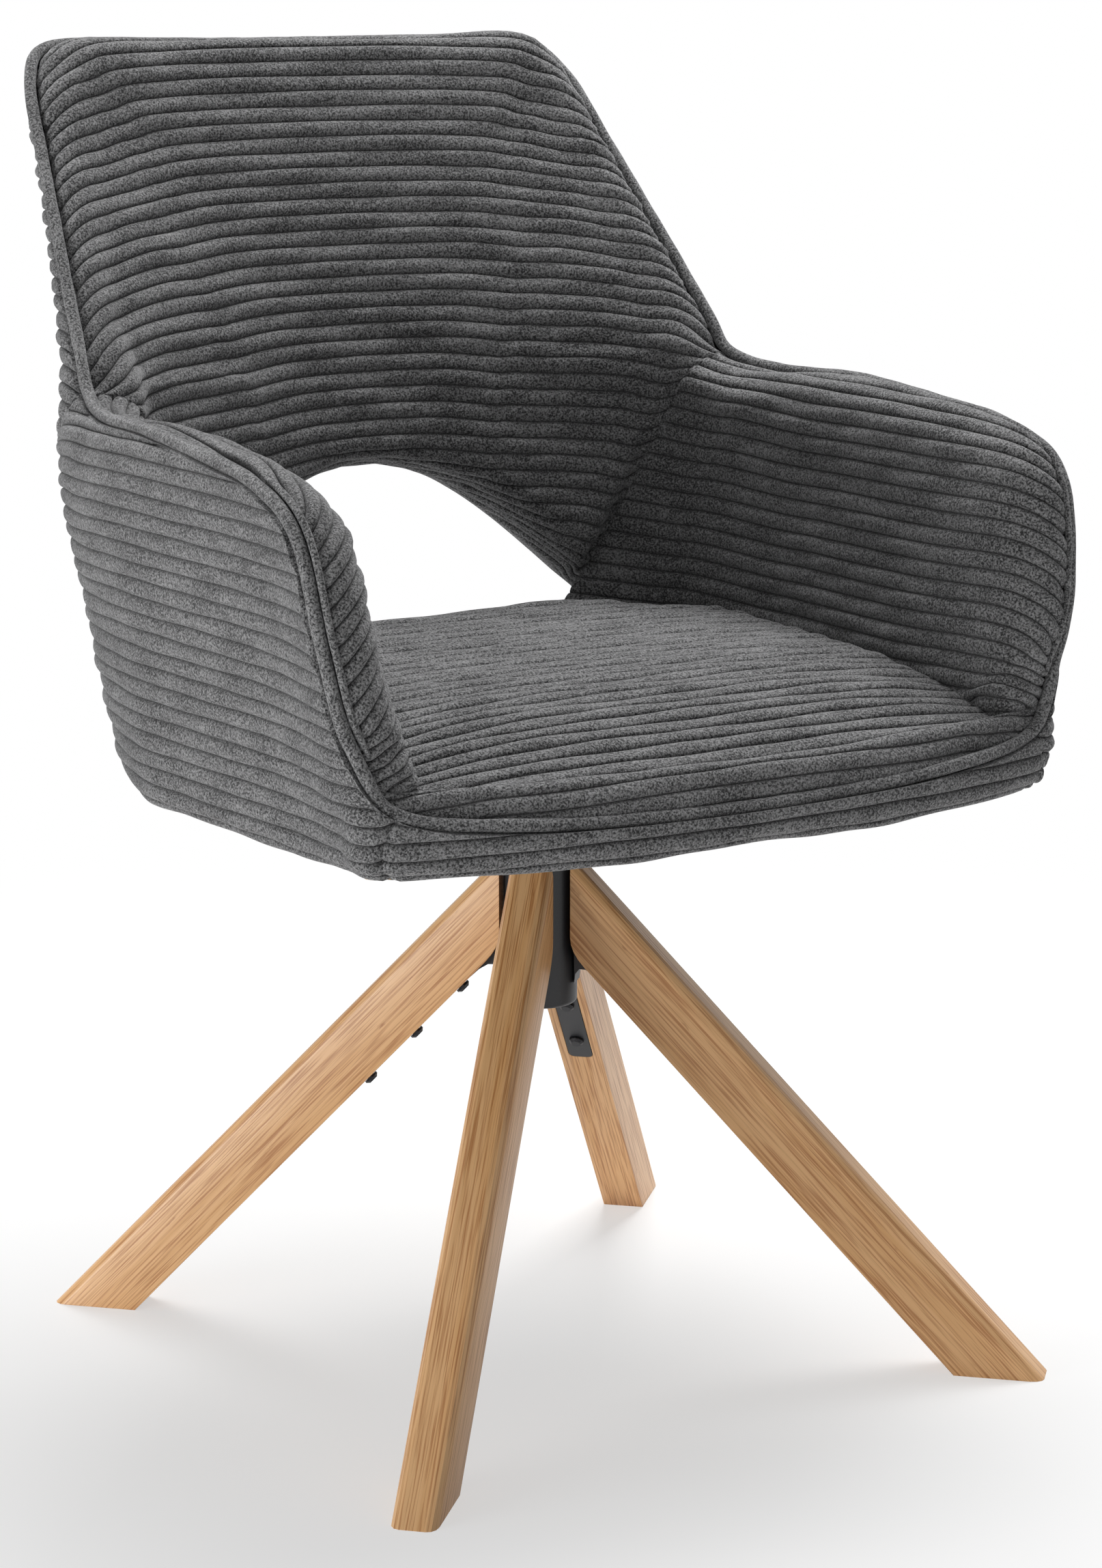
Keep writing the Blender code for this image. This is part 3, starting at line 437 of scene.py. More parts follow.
@dataclass(frozen=True)
class Mesh:
    """Points, quads and cloth coordinates of a piece before Blender has it."""

    points: Array
    quads: Array
    uv: Array

    def joined(self, other: "Mesh") -> "Mesh":
        """This mesh and another as one."""
        points = np.concatenate([self.points, other.points])
        quads = np.concatenate([self.quads, other.quads + len(self.points)])
        return Mesh(points, quads, np.concatenate([self.uv, other.uv]))

    def to_blender(self, name: str, crease: float = 70.0) -> bpy.types.Mesh:
        """Makes the Blender mesh at the column axis, with equal points merged.

        Args:
            name: name of the mesh.
            crease: degrees from which an edge stays sharp.

        Returns:
            A closed mesh with its faces outwards and smooth.
        """
        mesh = bpy.data.meshes.new(name)
        mesh.vertices.add(len(self.points))
        mesh.vertices.foreach_set("co", (self.points + AXIS).astype(np.float32).ravel())
        mesh.loops.add(self.quads.size)
        mesh.loops.foreach_set("vertex_index", self.quads.astype(np.int32).ravel())
        mesh.polygons.add(len(self.quads))
        starts = np.arange(0, self.quads.size, 4, dtype=np.int32)
        mesh.polygons.foreach_set("loop_start", starts)
        mesh.update(calc_edges=True)
        layer = mesh.uv_layers.new(name="cloth")
        layer.data.foreach_set("uv", self.uv[self.quads.ravel()].astype(np.float32).ravel())
        bm = bmesh.new()
        bm.from_mesh(mesh)
        bmesh.ops.remove_doubles(bm, verts=bm.verts, dist=2e-6)
        bmesh.ops.recalc_face_normals(bm, faces=bm.faces)
        if bm.calc_volume(signed=True) < 0:
            bmesh.ops.reverse_faces(bm, faces=bm.faces)
        bm.to_mesh(mesh)
        bm.free()
        mesh.shade_smooth()
        mesh.set_sharp_from_angle(angle=math.radians(crease))
        return mesh


def grid_quads(rows: int, columns: int, offset: int = 0) -> Array:
    """Quads of a rows by columns grid of points, the first point at an offset."""
    index = np.arange(rows * columns).reshape(rows, columns) + offset
    corners = [index[:-1, :-1], index[:-1, 1:], index[1:, 1:], index[1:, :-1]]
    return np.stack(corners, axis=-1).reshape(-1, 4)


def ring_quads(places: int, steps: int) -> Array:
    """Quads between rings of points and the next ring round, one row per ring."""
    index = np.arange(places * steps).reshape(places, steps)
    onward = np.roll(index, -1, axis=0)
    corners = [index, onward, np.roll(onward, -1, axis=1), np.roll(index, -1, axis=1)]
    return np.stack(corners, axis=-1)


def slab(front: Array, back: Array, uv: Array) -> Mesh:
    """A closed slab between two grids of points with the same rows and columns.

    Args:
        front: rows by columns of points on the good side.
        back: the same on the hidden side.
        uv: cloth coordinates of the good side, which the hidden side shares.

    Returns:
        The slab: both sides, and strips round the four edges.
    """
    rows, columns = front.shape[:2]
    size = rows * columns
    index = np.arange(size).reshape(rows, columns)
    ring = np.concatenate([index[0, :-1], index[:-1, -1], index[-1, :0:-1], index[:0:-1, 0]])
    after = np.roll(ring, -1)
    strip = np.stack([ring, ring + size, after + size, after], axis=-1)
    hidden = grid_quads(rows, columns, size)[:, ::-1]
    quads = np.concatenate([grid_quads(rows, columns), hidden, strip])
    points = np.concatenate([front.reshape(-1, 3), back.reshape(-1, 3)])
    return Mesh(points, quads, np.tile(uv.reshape(-1, 2), (2, 1)))


def tube(path: Array, radius: Array, steps: int, closed: bool = True) -> Mesh:
    """A round cord along a path: a circle square to the path at each of its points.

    Args:
        path: points of the path.
        radius: radius at each point, next to nothing at the ends of an open path.
        steps: corners of the circle.
        closed: whether the path runs back to its start.

    Returns:
        The cord, with cloth coordinates along and round it.
    """
    ahead = np.gradient(path, axis=0)
    if closed:
        ahead = np.roll(path, -1, axis=0) - np.roll(path, 1, axis=0)
    side = unit(np.cross(unit(ahead), UP))
    up = np.cross(side, unit(ahead))
    turn = np.linspace(0, math.tau, steps, endpoint=False)[None, :, None]
    ring = (np.cos(turn) * side[:, None] + np.sin(turn) * up[:, None]) * radius[:, None, None]
    walk = np.linalg.norm(np.roll(path, -1, axis=0) - path, axis=1)
    place = np.cumsum(walk)[:, None] + np.zeros((1, steps))
    round_it = np.linspace(0, math.tau, steps)[None] * radius[:, None]
    uv = np.stack([place, round_it], axis=-1).reshape(-1, 2)
    quads = ring_quads(len(path), steps)[: len(path) if closed else -1].reshape(-1, 4)
    return Mesh((path[:, None] + ring).reshape(-1, 3), quads, uv)


def lathe(profile: Array, steps: int) -> Mesh:
    """A closed profile of radius and height carried round the column axis.

    Args:
        profile: corners of the closed profile.
        steps: places round the axis.

    Returns:
        The turned ring.
    """
    turn = np.linspace(0, math.tau, steps, endpoint=False)[:, None]
    radius, height = profile[None, :, 0], profile[None, :, 1] + 0 * turn
    points = np.stack([radius * np.cos(turn), radius * np.sin(turn), height], axis=-1)
    uv = np.stack([radius * turn, height], axis=-1)
    quads = ring_quads(steps, len(profile)).reshape(-1, 4)
    return Mesh(points.reshape(-1, 3), quads, uv.reshape(-1, 2))


@dataclass(frozen=True)
class Wale:
    """The rib of the corduroy."""

    pitch: float = 0.0115
    height: float = 0.0034
    settle: float = 0.55
    flank: float = 2.4
    crest: float = 0.55
    phases: tuple[float, ...] = (0.0, 0.045, 0.11, 0.20, 0.33, 0.5, 0.67, 0.80, 0.89, 0.955)

    def rise(self, across: Array) -> Array:
        """Height of the cloth over its ground: a flattened half round between sharp grooves."""
        share = np.abs(2 * np.mod(across / self.pitch, 1) - 1)
        return self.height * ((1 - share**self.flank) ** self.crest - self.settle)

    def lines(self, low: float, high: float) -> Array:
        """Distances across the ribs at which the cloth has a row of points."""
        count = np.arange(math.floor(low / self.pitch), math.ceil(high / self.pitch) + 1)
        return ((count[:, None] + np.array(self.phases)[None]) * self.pitch).ravel()


@dataclass(frozen=True)
class Corduroy:
    """Corduroy laid on a face, its ribs counted up from a level line.

    Each wander is a ripple: its height, and its turns along and across the ribs.
    """

    wale: Wale
    face: Face
    back: Face
    shows: Shows
    run: Face | None = None
    drift: Face | None = None
    fade: float = 0.0
    table: int = 260
    wander: tuple[Triple, ...] = ((0.0006, 31.0, 190.0), (0.0004, 83.0, -260.0))

    def lay(self, stations: Array, low: Array, high: Array, level: Array) -> Mesh:
        """Lays the cloth on the face between two edges.

        Distances across the ribs are measured on the padded surface from the level line,
        leaving out what a column moves along the ribs' run, so that every row of points
        keeps its place on a rib. A drift bends the ribs, and a fade flattens them toward the
        lower edge. Rows past an edge end on it.

        Args:
            stations: one station per column.
            low: height share of the lower edge at each station.
            high: height share of the upper edge at each station.
            level: height share where a rib starts at each station.

        Returns:
            A closed slab with ribs on its good side.
        """
        ramp = 0.5 - 0.5 * np.cos(np.linspace(0, math.pi, self.table))[:, None]
        shares = low + (high - low) * ramp
        grid = np.broadcast_to(stations, shares.shape)
        face, back = self.face(grid, shares), self.back(grid, shares)
        sideways, upward = np.gradient(face, axis=1), np.gradient(face, axis=0)
        normal = self.shows.value * unit(np.cross(sideways, upward))
        step = np.diff(face, axis=0)
        if self.run is not None:
            run = self.run(grid, shares)[1:]
            step = step - run * (step * run).sum(axis=-1, keepdims=True)
        walk = np.maximum(np.linalg.norm(step, axis=-1), 1e-7)
        length = np.concatenate([np.zeros((1, len(stations))), np.cumsum(walk, axis=0)])
        if self.drift is not None:
            length = length + self.drift(grid, shares)
        columns = range(len(stations))
        start = np.array([np.interp(level[j], shares[:, j], length[:, j]) for j in columns])
        across = length - start
        lines = self.wale.lines(across.min(), across.max())
        count = np.arange(self.table)
        place = np.stack([np.interp(lines, across[:, j], count) for j in columns], axis=1)
        index = np.minimum(place.astype(int), self.table - 2)
        share = (place - index)[..., None]

        def read(values: Array) -> Array:
            """Values of the table at each row's place."""
            below = np.take_along_axis(values, index[..., None], axis=0)
            above = np.take_along_axis(values, index[..., None] + 1, axis=0)
            return below * (1 - share) + above * share

        cloth = np.clip(lines[:, None], across[0], across[-1])
        points = read(face)
        walk = np.linalg.norm(np.diff(points, axis=1), axis=-1).mean(axis=0)
        reach = np.concatenate([[0.0], np.cumsum(walk)])
        waves = (high * np.sin(a * reach[None] + b * cloth) for high, a, b in self.wander)
        rise = self.wale.rise(cloth) + sum(waves)
        if self.fade > 0:
            rise = rise * smooth((cloth - across[0]) / self.fade)
        uv = np.stack([np.broadcast_to(reach, cloth.shape), cloth], axis=-1)
        return slab(points + unit(read(normal)) * rise[..., None], read(back), uv)


class Shader:
    """A node material under construction."""

    def __init__(self, name: str) -> None:
        """Starts a material of this name with one principled shader."""
        self.material = bpy.data.materials.new(name)
        self.material.use_nodes = True
        self.tree = self.material.node_tree
        self.surface = self.tree.nodes["Principled BSDF"]

    def add(self, kind: str, **settings: object) -> bpy.types.Node:
        """Adds a node and sets its properties, or inputs where the name is one."""
        node = self.tree.nodes.new(kind)
        for key, value in settings.items():
            if hasattr(node, key):
                setattr(node, key, value)
            else:
                node.inputs[key.replace("_", " ").title()].default_value = value
        return node

    def feed(self, target: Socket, value: object) -> None:
        """Sets an input to a value, or links another node's output to it."""
        if isinstance(value, Socket):
            self.tree.links.new(value, target)
        else:
            target.default_value = value

    def put(self, socket: str, value: object) -> None:
        """Sets or links an input of the principled shader."""
        self.feed(self.surface.inputs[socket], value)

    def place(self, scale: Triple, attribute: str | None = None) -> Socket:
        """Object coordinates, or a named attribute of the mesh, stretched by a scale."""
        if attribute is None:
            source = self.add("ShaderNodeTexCoord").outputs["Object"]
        else:
            source = self.add("ShaderNodeAttribute", attribute_name=attribute).outputs["Vector"]
        mapping = self.add("ShaderNodeMapping")
        self.feed(mapping.inputs["Scale"], scale)
        self.feed(mapping.inputs["Vector"], source)
        return mapping.outputs["Vector"]

    def noise(self, place: Socket, detail: float = 3.0, rough: float = 0.55) -> Socket:
        """A noise from 0 to 1 of about one bump per unit of place."""
        node = self.add("ShaderNodeTexNoise", scale=1.0, detail=detail, roughness=rough)
        self.feed(node.inputs["Vector"], place)
        return node.outputs["Fac"]

    def math(self, operation: str, *values: object) -> Socket:
        """One arithmetic node on sockets and numbers."""
        node = self.add("ShaderNodeMath", operation=operation)
        for socket, value in zip(node.inputs, values):
            self.feed(socket, value)
        return node.outputs[0]

    def ramp(self, value: Socket, *stops: tuple[float, Triple]) -> Socket:
        """A colour for each value, straight between the stops."""
        node = self.add("ShaderNodeValToRGB")
        elements = node.color_ramp.elements
        while len(elements) < len(stops):
            elements.new(0.5)
        for element, (place, colour) in zip(elements, stops):
            element.position = place
            element.color = (*colour, 1.0)
        self.feed(node.inputs["Fac"], value)
        return node.outputs["Color"]

    def times(self, colour: Socket, value: Socket) -> Socket:
        """A colour made lighter or darker by a factor."""
        node = self.add("ShaderNodeVectorMath", operation="SCALE")
        self.feed(node.inputs[0], colour)
        self.feed(node.inputs["Scale"], value)
        return node.outputs[0]

    def product(self, first: Socket, second: Socket) -> Socket:
        """Two colours multiplied."""
        node = self.add("ShaderNodeVectorMath", operation="MULTIPLY")
        self.feed(node.inputs[0], first)
        self.feed(node.inputs[1], second)
        return node.outputs[0]

    def bump(self, height: Socket, distance: float, strength: float) -> None:
        """Bumps the surface by a height of this many metres."""
        node = self.add("ShaderNodeBump")
        for name, value in (("Strength", strength), ("Distance", distance), ("Height", height)):
            self.feed(node.inputs[name], value)
        self.put("Normal", node.outputs["Normal"])


@dataclass(frozen=True)
class PileFinish:
    """Plush grey pile: mottled nap, brushed patches and painted shade in the grooves."""

    name: str
    dark: Triple = (0.032, 0.032, 0.033)
    light: Triple = (0.330, 0.330, 0.332)
    stops: Pair = (0.42, 0.60)
    nap_scale: float = 720.0
    patch_scale: float = 26.0
    patch_share: float = 0.14
    # groove: painted shade, the colour's factor at the bottom of each groove; groove_shade_power
    # narrows it.
    groove_shade: float = 0.38
    groove_shade_power: float = 6.0
    pitch: float = 0.0115
    roughness: float = 0.95
    specular: float = 0.15
    sheen: Pair = (0.40, 0.45)
    sheen_tint: tuple[float, ...] = (0.75, 0.75, 0.76, 1.0)
    nap_depth: float = 0.0012
    nap_strength: float = 0.9

    def material(self) -> Material:
        """The pile, with painted shade in its grooves that follows the cloth coordinate across the
        ribs.
        """
        shader = Shader(self.name)
        nap = shader.noise(shader.place((self.nap_scale,) * 3), 3.0, 0.7)
        brushed = shader.noise(shader.place((self.patch_scale,) * 3), 3.0, 0.6)
        fine = shader.math("MULTIPLY", nap, 1 - self.patch_share)
        mixed = shader.math("ADD", fine, shader.math("MULTIPLY", brushed, self.patch_share))
        colour = shader.ramp(mixed, (self.stops[0], self.dark), (self.stops[1], self.light))
        # Painted shade: the colour darkens toward each groove between the ribs.
        if self.groove_shade < 1:
            split = shader.add("ShaderNodeSeparateXYZ")
            shader.feed(split.inputs[0], shader.place((1, 1, 1), "cloth"))
            phase = shader.math("FRACT", shader.math("DIVIDE", split.outputs["Y"], self.pitch))
            off = shader.math("ABSOLUTE", shader.math("MULTIPLY_ADD", phase, 2.0, -1.0))
            deep = shader.math("POWER", off, self.groove_shade_power)
            shade = shader.math("MULTIPLY_ADD", deep, self.groove_shade - 1, 1.0)
            colour = shader.times(colour, shade)
        shader.put("Base Color", colour)
        shader.put("Roughness", self.roughness)
        shader.put("Specular IOR Level", self.specular)
        shader.put("Sheen Weight", self.sheen[0])
        shader.put("Sheen Roughness", self.sheen[1])
        shader.put("Sheen Tint", self.sheen_tint)
        shader.bump(nap, self.nap_depth, self.nap_strength)
        return shader.material


@dataclass(frozen=True)
class WoodFinish:
    """Wood with bands and pores along a grain attribute."""

    name: str
    light: Triple
    dark: Triple
    pore: Triple
    gloss: float
    attribute: str | None = "grain"
    band_scale: Triple = (4.0, 110.0, 110.0)
    pore_scale: Triple = (16.0, 760.0, 760.0)
    fleck_scale: Triple = (34.0, 170.0, 170.0)
    bare: Triple = (1.0, 1.0, 1.0)

    def material(self) -> Material:
        """The wood: wide growth bands, fine pores, short flecks and a satin coat."""
        shader = Shader(self.name)
        bands = shader.noise(shader.place(self.band_scale, self.attribute), 2.0, 0.5)
        colour = shader.ramp(bands, (0.30, self.dark), (0.50, self.light), (0.75, self.light))
        pores = shader.noise(shader.place(self.pore_scale, self.attribute), 2.0, 0.6)
        flecks = shader.noise(shader.place(self.fleck_scale, self.attribute), 3.0, 0.6)
        lines = shader.ramp(pores, (0.36, self.pore), (0.54, self.bare))
        spots = shader.ramp(flecks, (0.22, self.pore), (0.30, self.bare))
        shader.put("Base Color", shader.product(shader.product(colour, lines), spots))
        shader.put("Roughness", shader.math("MULTIPLY_ADD", pores, -0.15, self.gloss + 0.08))
        shader.bump(pores, 0.0003, 0.35)
        return shader.material


@dataclass(frozen=True)
class GrainyFinish:
    """Paint, metal, plastic or felt with a fine even grain."""

    name: str
    colour: Triple
    spread: float
    roughness: float
    metallic: float
    grain: float
    depth: float

    def material(self) -> Material:
        """The finish: colour and roughness that vary with one fine noise."""
        shader = Shader(self.name)
        fine = shader.noise(shader.place((self.grain,) * 3), 3.0, 0.6)
        low = tuple(value * (1 - self.spread) for value in self.colour)
        high = tuple(value * (1 + self.spread) for value in self.colour)
        shader.put("Base Color", shader.ramp(fine, (0.3, low), (0.7, high)))
        shader.put("Roughness", shader.math("MULTIPLY_ADD", fine, 0.2, self.roughness - 0.1))
        shader.put("Metallic", self.metallic)
        shader.bump(fine, self.depth, 0.5)
        return shader.material


class Finishes:
    """Every finish of the chair, made once."""

    def __init__(self) -> None:
        """Makes the materials."""
        oak = ((0.760, 0.450, 0.210), (0.680, 0.375, 0.155), (0.62, 0.48, 0.37))
        plywood = ((0.560, 0.410, 0.240), (0.440, 0.300, 0.160), (0.80, 0.74, 0.66))
        black, zinc, felt = (0.020, 0.021, 0.024), (0.035, 0.035, 0.038), (0.018, 0.018, 0.019)
        steel, nylon = (0.420, 0.430, 0.440), (0.620, 0.610, 0.580)
        self.corduroy = PileFinish("corduroy_ribs").material()
        # The piping gets no painted groove shade.
        self.cord = PileFinish("corduroy_piping", groove_shade=1.0).material()
        self.oak = WoodFinish("oak", *oak, 0.38).material()
        self.plywood = WoodFinish("plywood", *plywood, 0.60, None).material()
        grainy = [
            GrainyFinish("black_coat", black, 0.35, 0.46, 0.0, 1800.0, 0.00012),
            GrainyFinish("black_zinc", zinc, 0.30, 0.36, 0.8, 900.0, 0.00005),
            GrainyFinish("ground_steel", steel, 0.15, 0.34, 1.0, 700.0, 0.00004),
            GrainyFinish("nylon", nylon, 0.06, 0.45, 0.0, 400.0, 0.00004),
            GrainyFinish("black_felt", felt, 0.60, 0.95, 0.0, 1300.0, 0.0004),
        ]
        made = [finish.material() for finish in grainy]
        self.coat, self.zinc, self.steel, self.nylon, self.felt = made


def linked(name: str, data: bpy.types.ID) -> bpy.types.Object:
    """Puts data into the scene as an object at the origin."""
    thing = bpy.data.objects.new(name, data)
    bpy.context.scene.collection.objects.link(thing)
    return thing


def show(
    name: str,
    mesh: bpy.types.Mesh,
    material: Material,
    body: Body,
    slot: str,
    *stands_for: str,
) -> bpy.types.Object:
    """Puts a piece in the scene, on its body and in the place of its solids.

    Args:
        name: name of the piece.
        mesh: its mesh, placed in the mesh itself.
        material: its finish.
        body: the body that it rides on.
        slot: the record's material slot; not used.
        stands_for: nodes that the piece replaces.

    Returns:
        The piece.
    """
    piece = linked(name, mesh)
    mesh.materials.clear()
    mesh.materials.append(material)
    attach(piece, body.value)
    if stands_for:
        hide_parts(*stands_for)
    log.info("%s: %d faces", name, len(mesh.polygons))
    return piece


def mesh_points(mesh: bpy.types.Mesh) -> Array:
    """Points of a Blender mesh."""
    points = np.empty(len(mesh.vertices) * 3, np.float32)
    mesh.vertices.foreach_get("co", points)
    return points.reshape(-1, 3)


def solid_copy(name: str, flat: float = 0.0) -> bpy.types.Mesh:
    """A copy of a node's mesh with its equal points merged.

    Args:
        name: name of the node.
        flat: angle up to which neighbouring faces become one, or none to keep them.

    Returns:
        The mesh, placed in the mesh itself.
    """
    node = frame["nodes"][name]
    mesh = node.data.copy()
    mesh.transform(node.matrix_world)
    bm = bmesh.new()
    bm.from_mesh(mesh)
    bmesh.ops.remove_doubles(bm, verts=bm.verts, dist=1e-5)
    if flat:
        bmesh.ops.dissolve_limit(bm, angle_limit=flat, verts=bm.verts, edges=bm.edges)
    bm.to_mesh(mesh)
    bm.free()
    return mesh


@dataclass(frozen=True)
class Roll:
    """How thick a pad is, and how it rolls over to the piping."""

    full: float
    width: float
    lift: float

    def toward(self, other: "Roll", share: Array) -> tuple[Array, Array, Array]:
        """Thickness, width and lift a share of the way to another roll."""
        pairs = ((self.full, other.full), (self.width, other.width), (self.lift, other.lift))
        full, width, lift = (start + (end - start) * share for start, end in pairs)
        return full, width, lift


@dataclass(frozen=True)
class Upholstery:
    """The corduroy panels, the pads, the piping and the board under them.

    A pair that starts or stops something gives the station, height or distance where it
    starts to and the length over which it does.
    """

    form: BucketForm
    finishes: Finishes
    wale: Wale = Wale()
    column: float = 0.0060
    cover: float = 0.003
    wadding: float = 0.012
    wadding_round: float = 0.030
    wadding_end: float = 12.0
    wadding_foot: float = 0.40
    wadding_full: float = 0.85
    arm_level: float = 0.408
    apron_level: float = 0.4085
    band_level: float = 0.4235
    back_level: float = 0.620
    pad_level: float = 0.450
    pad_foot: float = 0.418
    pad_least: float = 0.02
    layer_pad: float = 0.0118
    layer_least: float = 0.001
    pad_edge: float = 0.0085
    pad_tuck: float = 0.5
    back_roll: Roll = Roll(0.032, 0.022, 0.010)
    arm_roll: Roll = Roll(0.035, 0.032, 0.023)
    roll_grows: float = 3.0
    side_thins: float = 0.016
    thin_above: Pair = (-0.02, 0.07)
    thin_start: Pair = (1.4, 2.6)
    thin_stop: Pair = (5.6, 2.0)
    arm_end: float = 14.7
    arm_thins: float = 1.1
    arm_bulge: float = 0.3
    rim_past: float = 0.6
    rim_corners: int = 700
    wave_place: float = 0.075
    wave_width: float = 0.030
    wave_height: float = 0.001
    wave_below: float = 0.16
    wave_start: Pair = (2.4, 1.4)
    span_start: Pair = (0.006, 0.040)
    span_ends: float = 0.8
    span_power: float = 2.0
    span_most: float = 0.045
    span_follow: float = 0.30
    span_edge: float = 0.020
    span_shares: Pair = (0.15, 0.995)
    span_last: float = 2.0
    lap: float = 0.0020
    arch_wrap: float = 0.003
    arch_round: float = 0.020
    arch_fade: float = 0.010
    sill_over: float = 0.002
    sill_round: float = 0.010
    hem: float = 0.014
    tuck: float = 0.0030
    tuck_width: float = 0.007
    piping_radius: float = 0.0042
    piping_set: float = 0.0052
    piping_fit: float = 0.0010
    piping_step: float = 0.004
    piping_waver: Triple = (0.05, 140.0, 57.0)
    welt_radius: float = 0.0023
    welt_ends: Pair = (11.0, 14.2)
    welt_set: float = 0.8
    welt_over: float = 2.2
    board_back: float = 0.016
    board_sill: float = 0.010
    board_seam: float = 0.30
    board_step: float = 0.012
    board_faces: Pair = (0.0050, 0.0104)

    def seam_tuck(self, stations: Array, ends: Pair) -> Array:
        """Depth by which a cover dips into the seams at its two ends."""
        reach = np.full(stations.shape, np.inf)
        step = 0.02
        for end in ends:
            near = np.array([end - step, end + step])
            gap = np.diff(self.form.point(near, np.full(2, 0.5)), axis=0)
            pitch = np.linalg.norm(gap) / (2 * step)
            reach = np.minimum(reach, np.abs(stations - end) * pitch)
        return self.tuck * (1 - edge_round(reach, self.tuck_width))

    def swell(self, stations: Array, shares: Array) -> Array:
        """How full the wadding under an outer cover is: none at the rim, below and in front."""
        form = self.form
        near = form.from_back(stations)
        rearward = smooth((self.wadding_end - near) / (self.wadding_end - form.notch))
        upward = between(shares, self.wadding_foot, self.wadding_full - self.wadding_foot)
        to_rim = (form.top(stations) - shares) * form.height(stations)
        return edge_round(to_rim, self.wadding_round) * upward * rearward

    def outer(self, ends: Pair, stretch: Stretch) -> tuple[Face, Face]:
        """The face and back of an outer cover.

        The cover lies on the bucket's outer face, swells over its wadding, dips into its end
        seams, and turns in under the seat over a quarter round at its hem, or over the sill
        of the arch.

        Args:
            ends: stations of its two seams.
            stretch: how much of the bucket's height it takes.

        Returns:
            The good face and the hidden face.
        """
        form = self.form

        def depth(stations: Array, shares: Array) -> Array:
            """Depth of the good face behind the bucket's outer face."""
            found = self.seam_tuck(stations, ends) - self.wadding * self.swell(stations, shares)
            height = form.height(stations)
            if stretch is not Stretch.ABOVE:
                found = found + self.hem * (1 - edge_round(shares * height, self.hem))
            if stretch is Stretch.BELOW:
                over = (self.sill(stations) - shares) * height
                found = found + self.hem * (1 - edge_round(over, self.sill_round))
            return found

        def face(stations: Array, shares: Array) -> Array:
            """Points of the good face."""
            return form.sunk(stations, shares, depth(stations, shares))

        def back(stations: Array, shares: Array) -> Array:
            """Points of the hidden face, one cloth thickness in."""
            return form.sunk(stations, shares, depth(stations, shares) + self.cover)

        return face, back

    def rim_line(self, first: float, last: float) -> tuple[Array, Array, Array]:
        """The covers' upper edge with its directions, from before first to past last."""
        past = self.rim_past
        return self.form.edge_frame(np.linspace(first - past, last + past, self.rim_corners))

    def padded(self, first: float, last: float, foot: bool) -> tuple[Face, Face]:
        """The face and back of a pad inside the bucket.

        Away from the rim the pad is full thick. Near it the pad follows half an ellipse of
        its distance from the rim: it rises beside the piping, rolls over and falls to its
        full thickness. It dips a little into its seams and, where it has a foot, turns under
        the edge of the arch.

        Args:
            first: first station.
            last: last station.
            foot: whether it wraps the arch's edge.

        Returns:
            The good face and the hidden face.
        """
        form = self.form
        edge, _, square = self.rim_line(first, last)

        def offsets(stations: Array, shares: Array) -> tuple[Array, Array, Array]:
            """Depth of the good face, its offset square to the rim, and how far it spans."""
            near = np.abs(stations)
            grown = between(near, form.notch, self.roll_grows)
            full, width, lift = self.back_roll.toward(self.arm_roll, grown)
            points = form.point(stations, shares)
            upper = between(points[..., 2] - form.notch_z, *self.thin_above)
            sides = between(near, *self.thin_start) - between(near, *self.thin_stop)
            full = full - self.side_thins * upper * sides
            thin = edge_round(self.arm_end - near, self.arm_thins)
            reach, place = nearest(edge, points)
            turn = math.pi * np.clip(reach / width, 0, 1)
            bulge = (1 - np.cos(turn)) / 2 * (self.arm_bulge + (1 - self.arm_bulge) * thin)
            wide = between(reach, *self.span_start) * smooth((form.notch - near) / self.span_ends)
            deep = self.pad_edge + (self.layer_pad + full - self.pad_edge) * bulge
            deep = deep - self.pad_tuck * self.seam_tuck(stations, (-form.notch, form.notch))
            if foot:
                above = (shares - self.arch_edge(stations)) * form.height(stations)
                fall = edge_round(above, self.arch_round)
                deep, wide = deep * fall, wide * fall
            away = square[np.rint(place).astype(int)] * (lift * np.sin(turn) * thin)[..., None]
            return deep, away, wide

        def face(stations: Array, shares: Array) -> Array:
            """Points of the good face."""
            deep, away, wide = offsets(stations, shares)
            points = form.sunk(stations, shares, deep) + away
            return self.spanned(points, wide) if foot else points

        def back(stations: Array, shares: Array) -> Array:
            """Points of the hidden face, on the board."""
            deep = offsets(stations, shares)[0] - self.layer_least
            return form.sunk(stations, shares, np.minimum(self.layer_pad, deep))

        return face, back

    @cached_property
    def span(self) -> tuple[Array, Array, Array, Array]:
        """Heights, with the back pad's middle Y and its edge's X and Y at each of them."""
        form = self.form
        shares = np.linspace(*self.span_shares, 120)
        rear, seam = np.zeros(shares.shape), np.full(shares.shape, float(form.notch))
        middle = form.sunk(rear, shares, self.layer_pad + self.back_roll.full)
        low = form.sunk(seam, shares, self.span_edge)
        points, inward, _ = form.edge_frame(np.linspace(form.notch, self.span_last, 120))
        high = points + inward * self.span_edge
        edge = np.concatenate([low, high])
        edge = edge[np.argsort(edge[:, 2])]
        below = np.minimum(high[0, 1] - edge[:, 1], 0) * (1 - self.span_follow)
        edge[:, 1] += np.where(edge[:, 2] < points[0, 2], below, 0)
        heights = np.linspace(form.arch_sill, form.top_z, 160)
        y = np.interp(heights, middle[:, 2], middle[:, 1])
        edge_x, edge_y = (np.interp(heights, edge[:, 2], edge[:, axis]) for axis in (0, 1))
        return heights, y, edge_x, edge_y

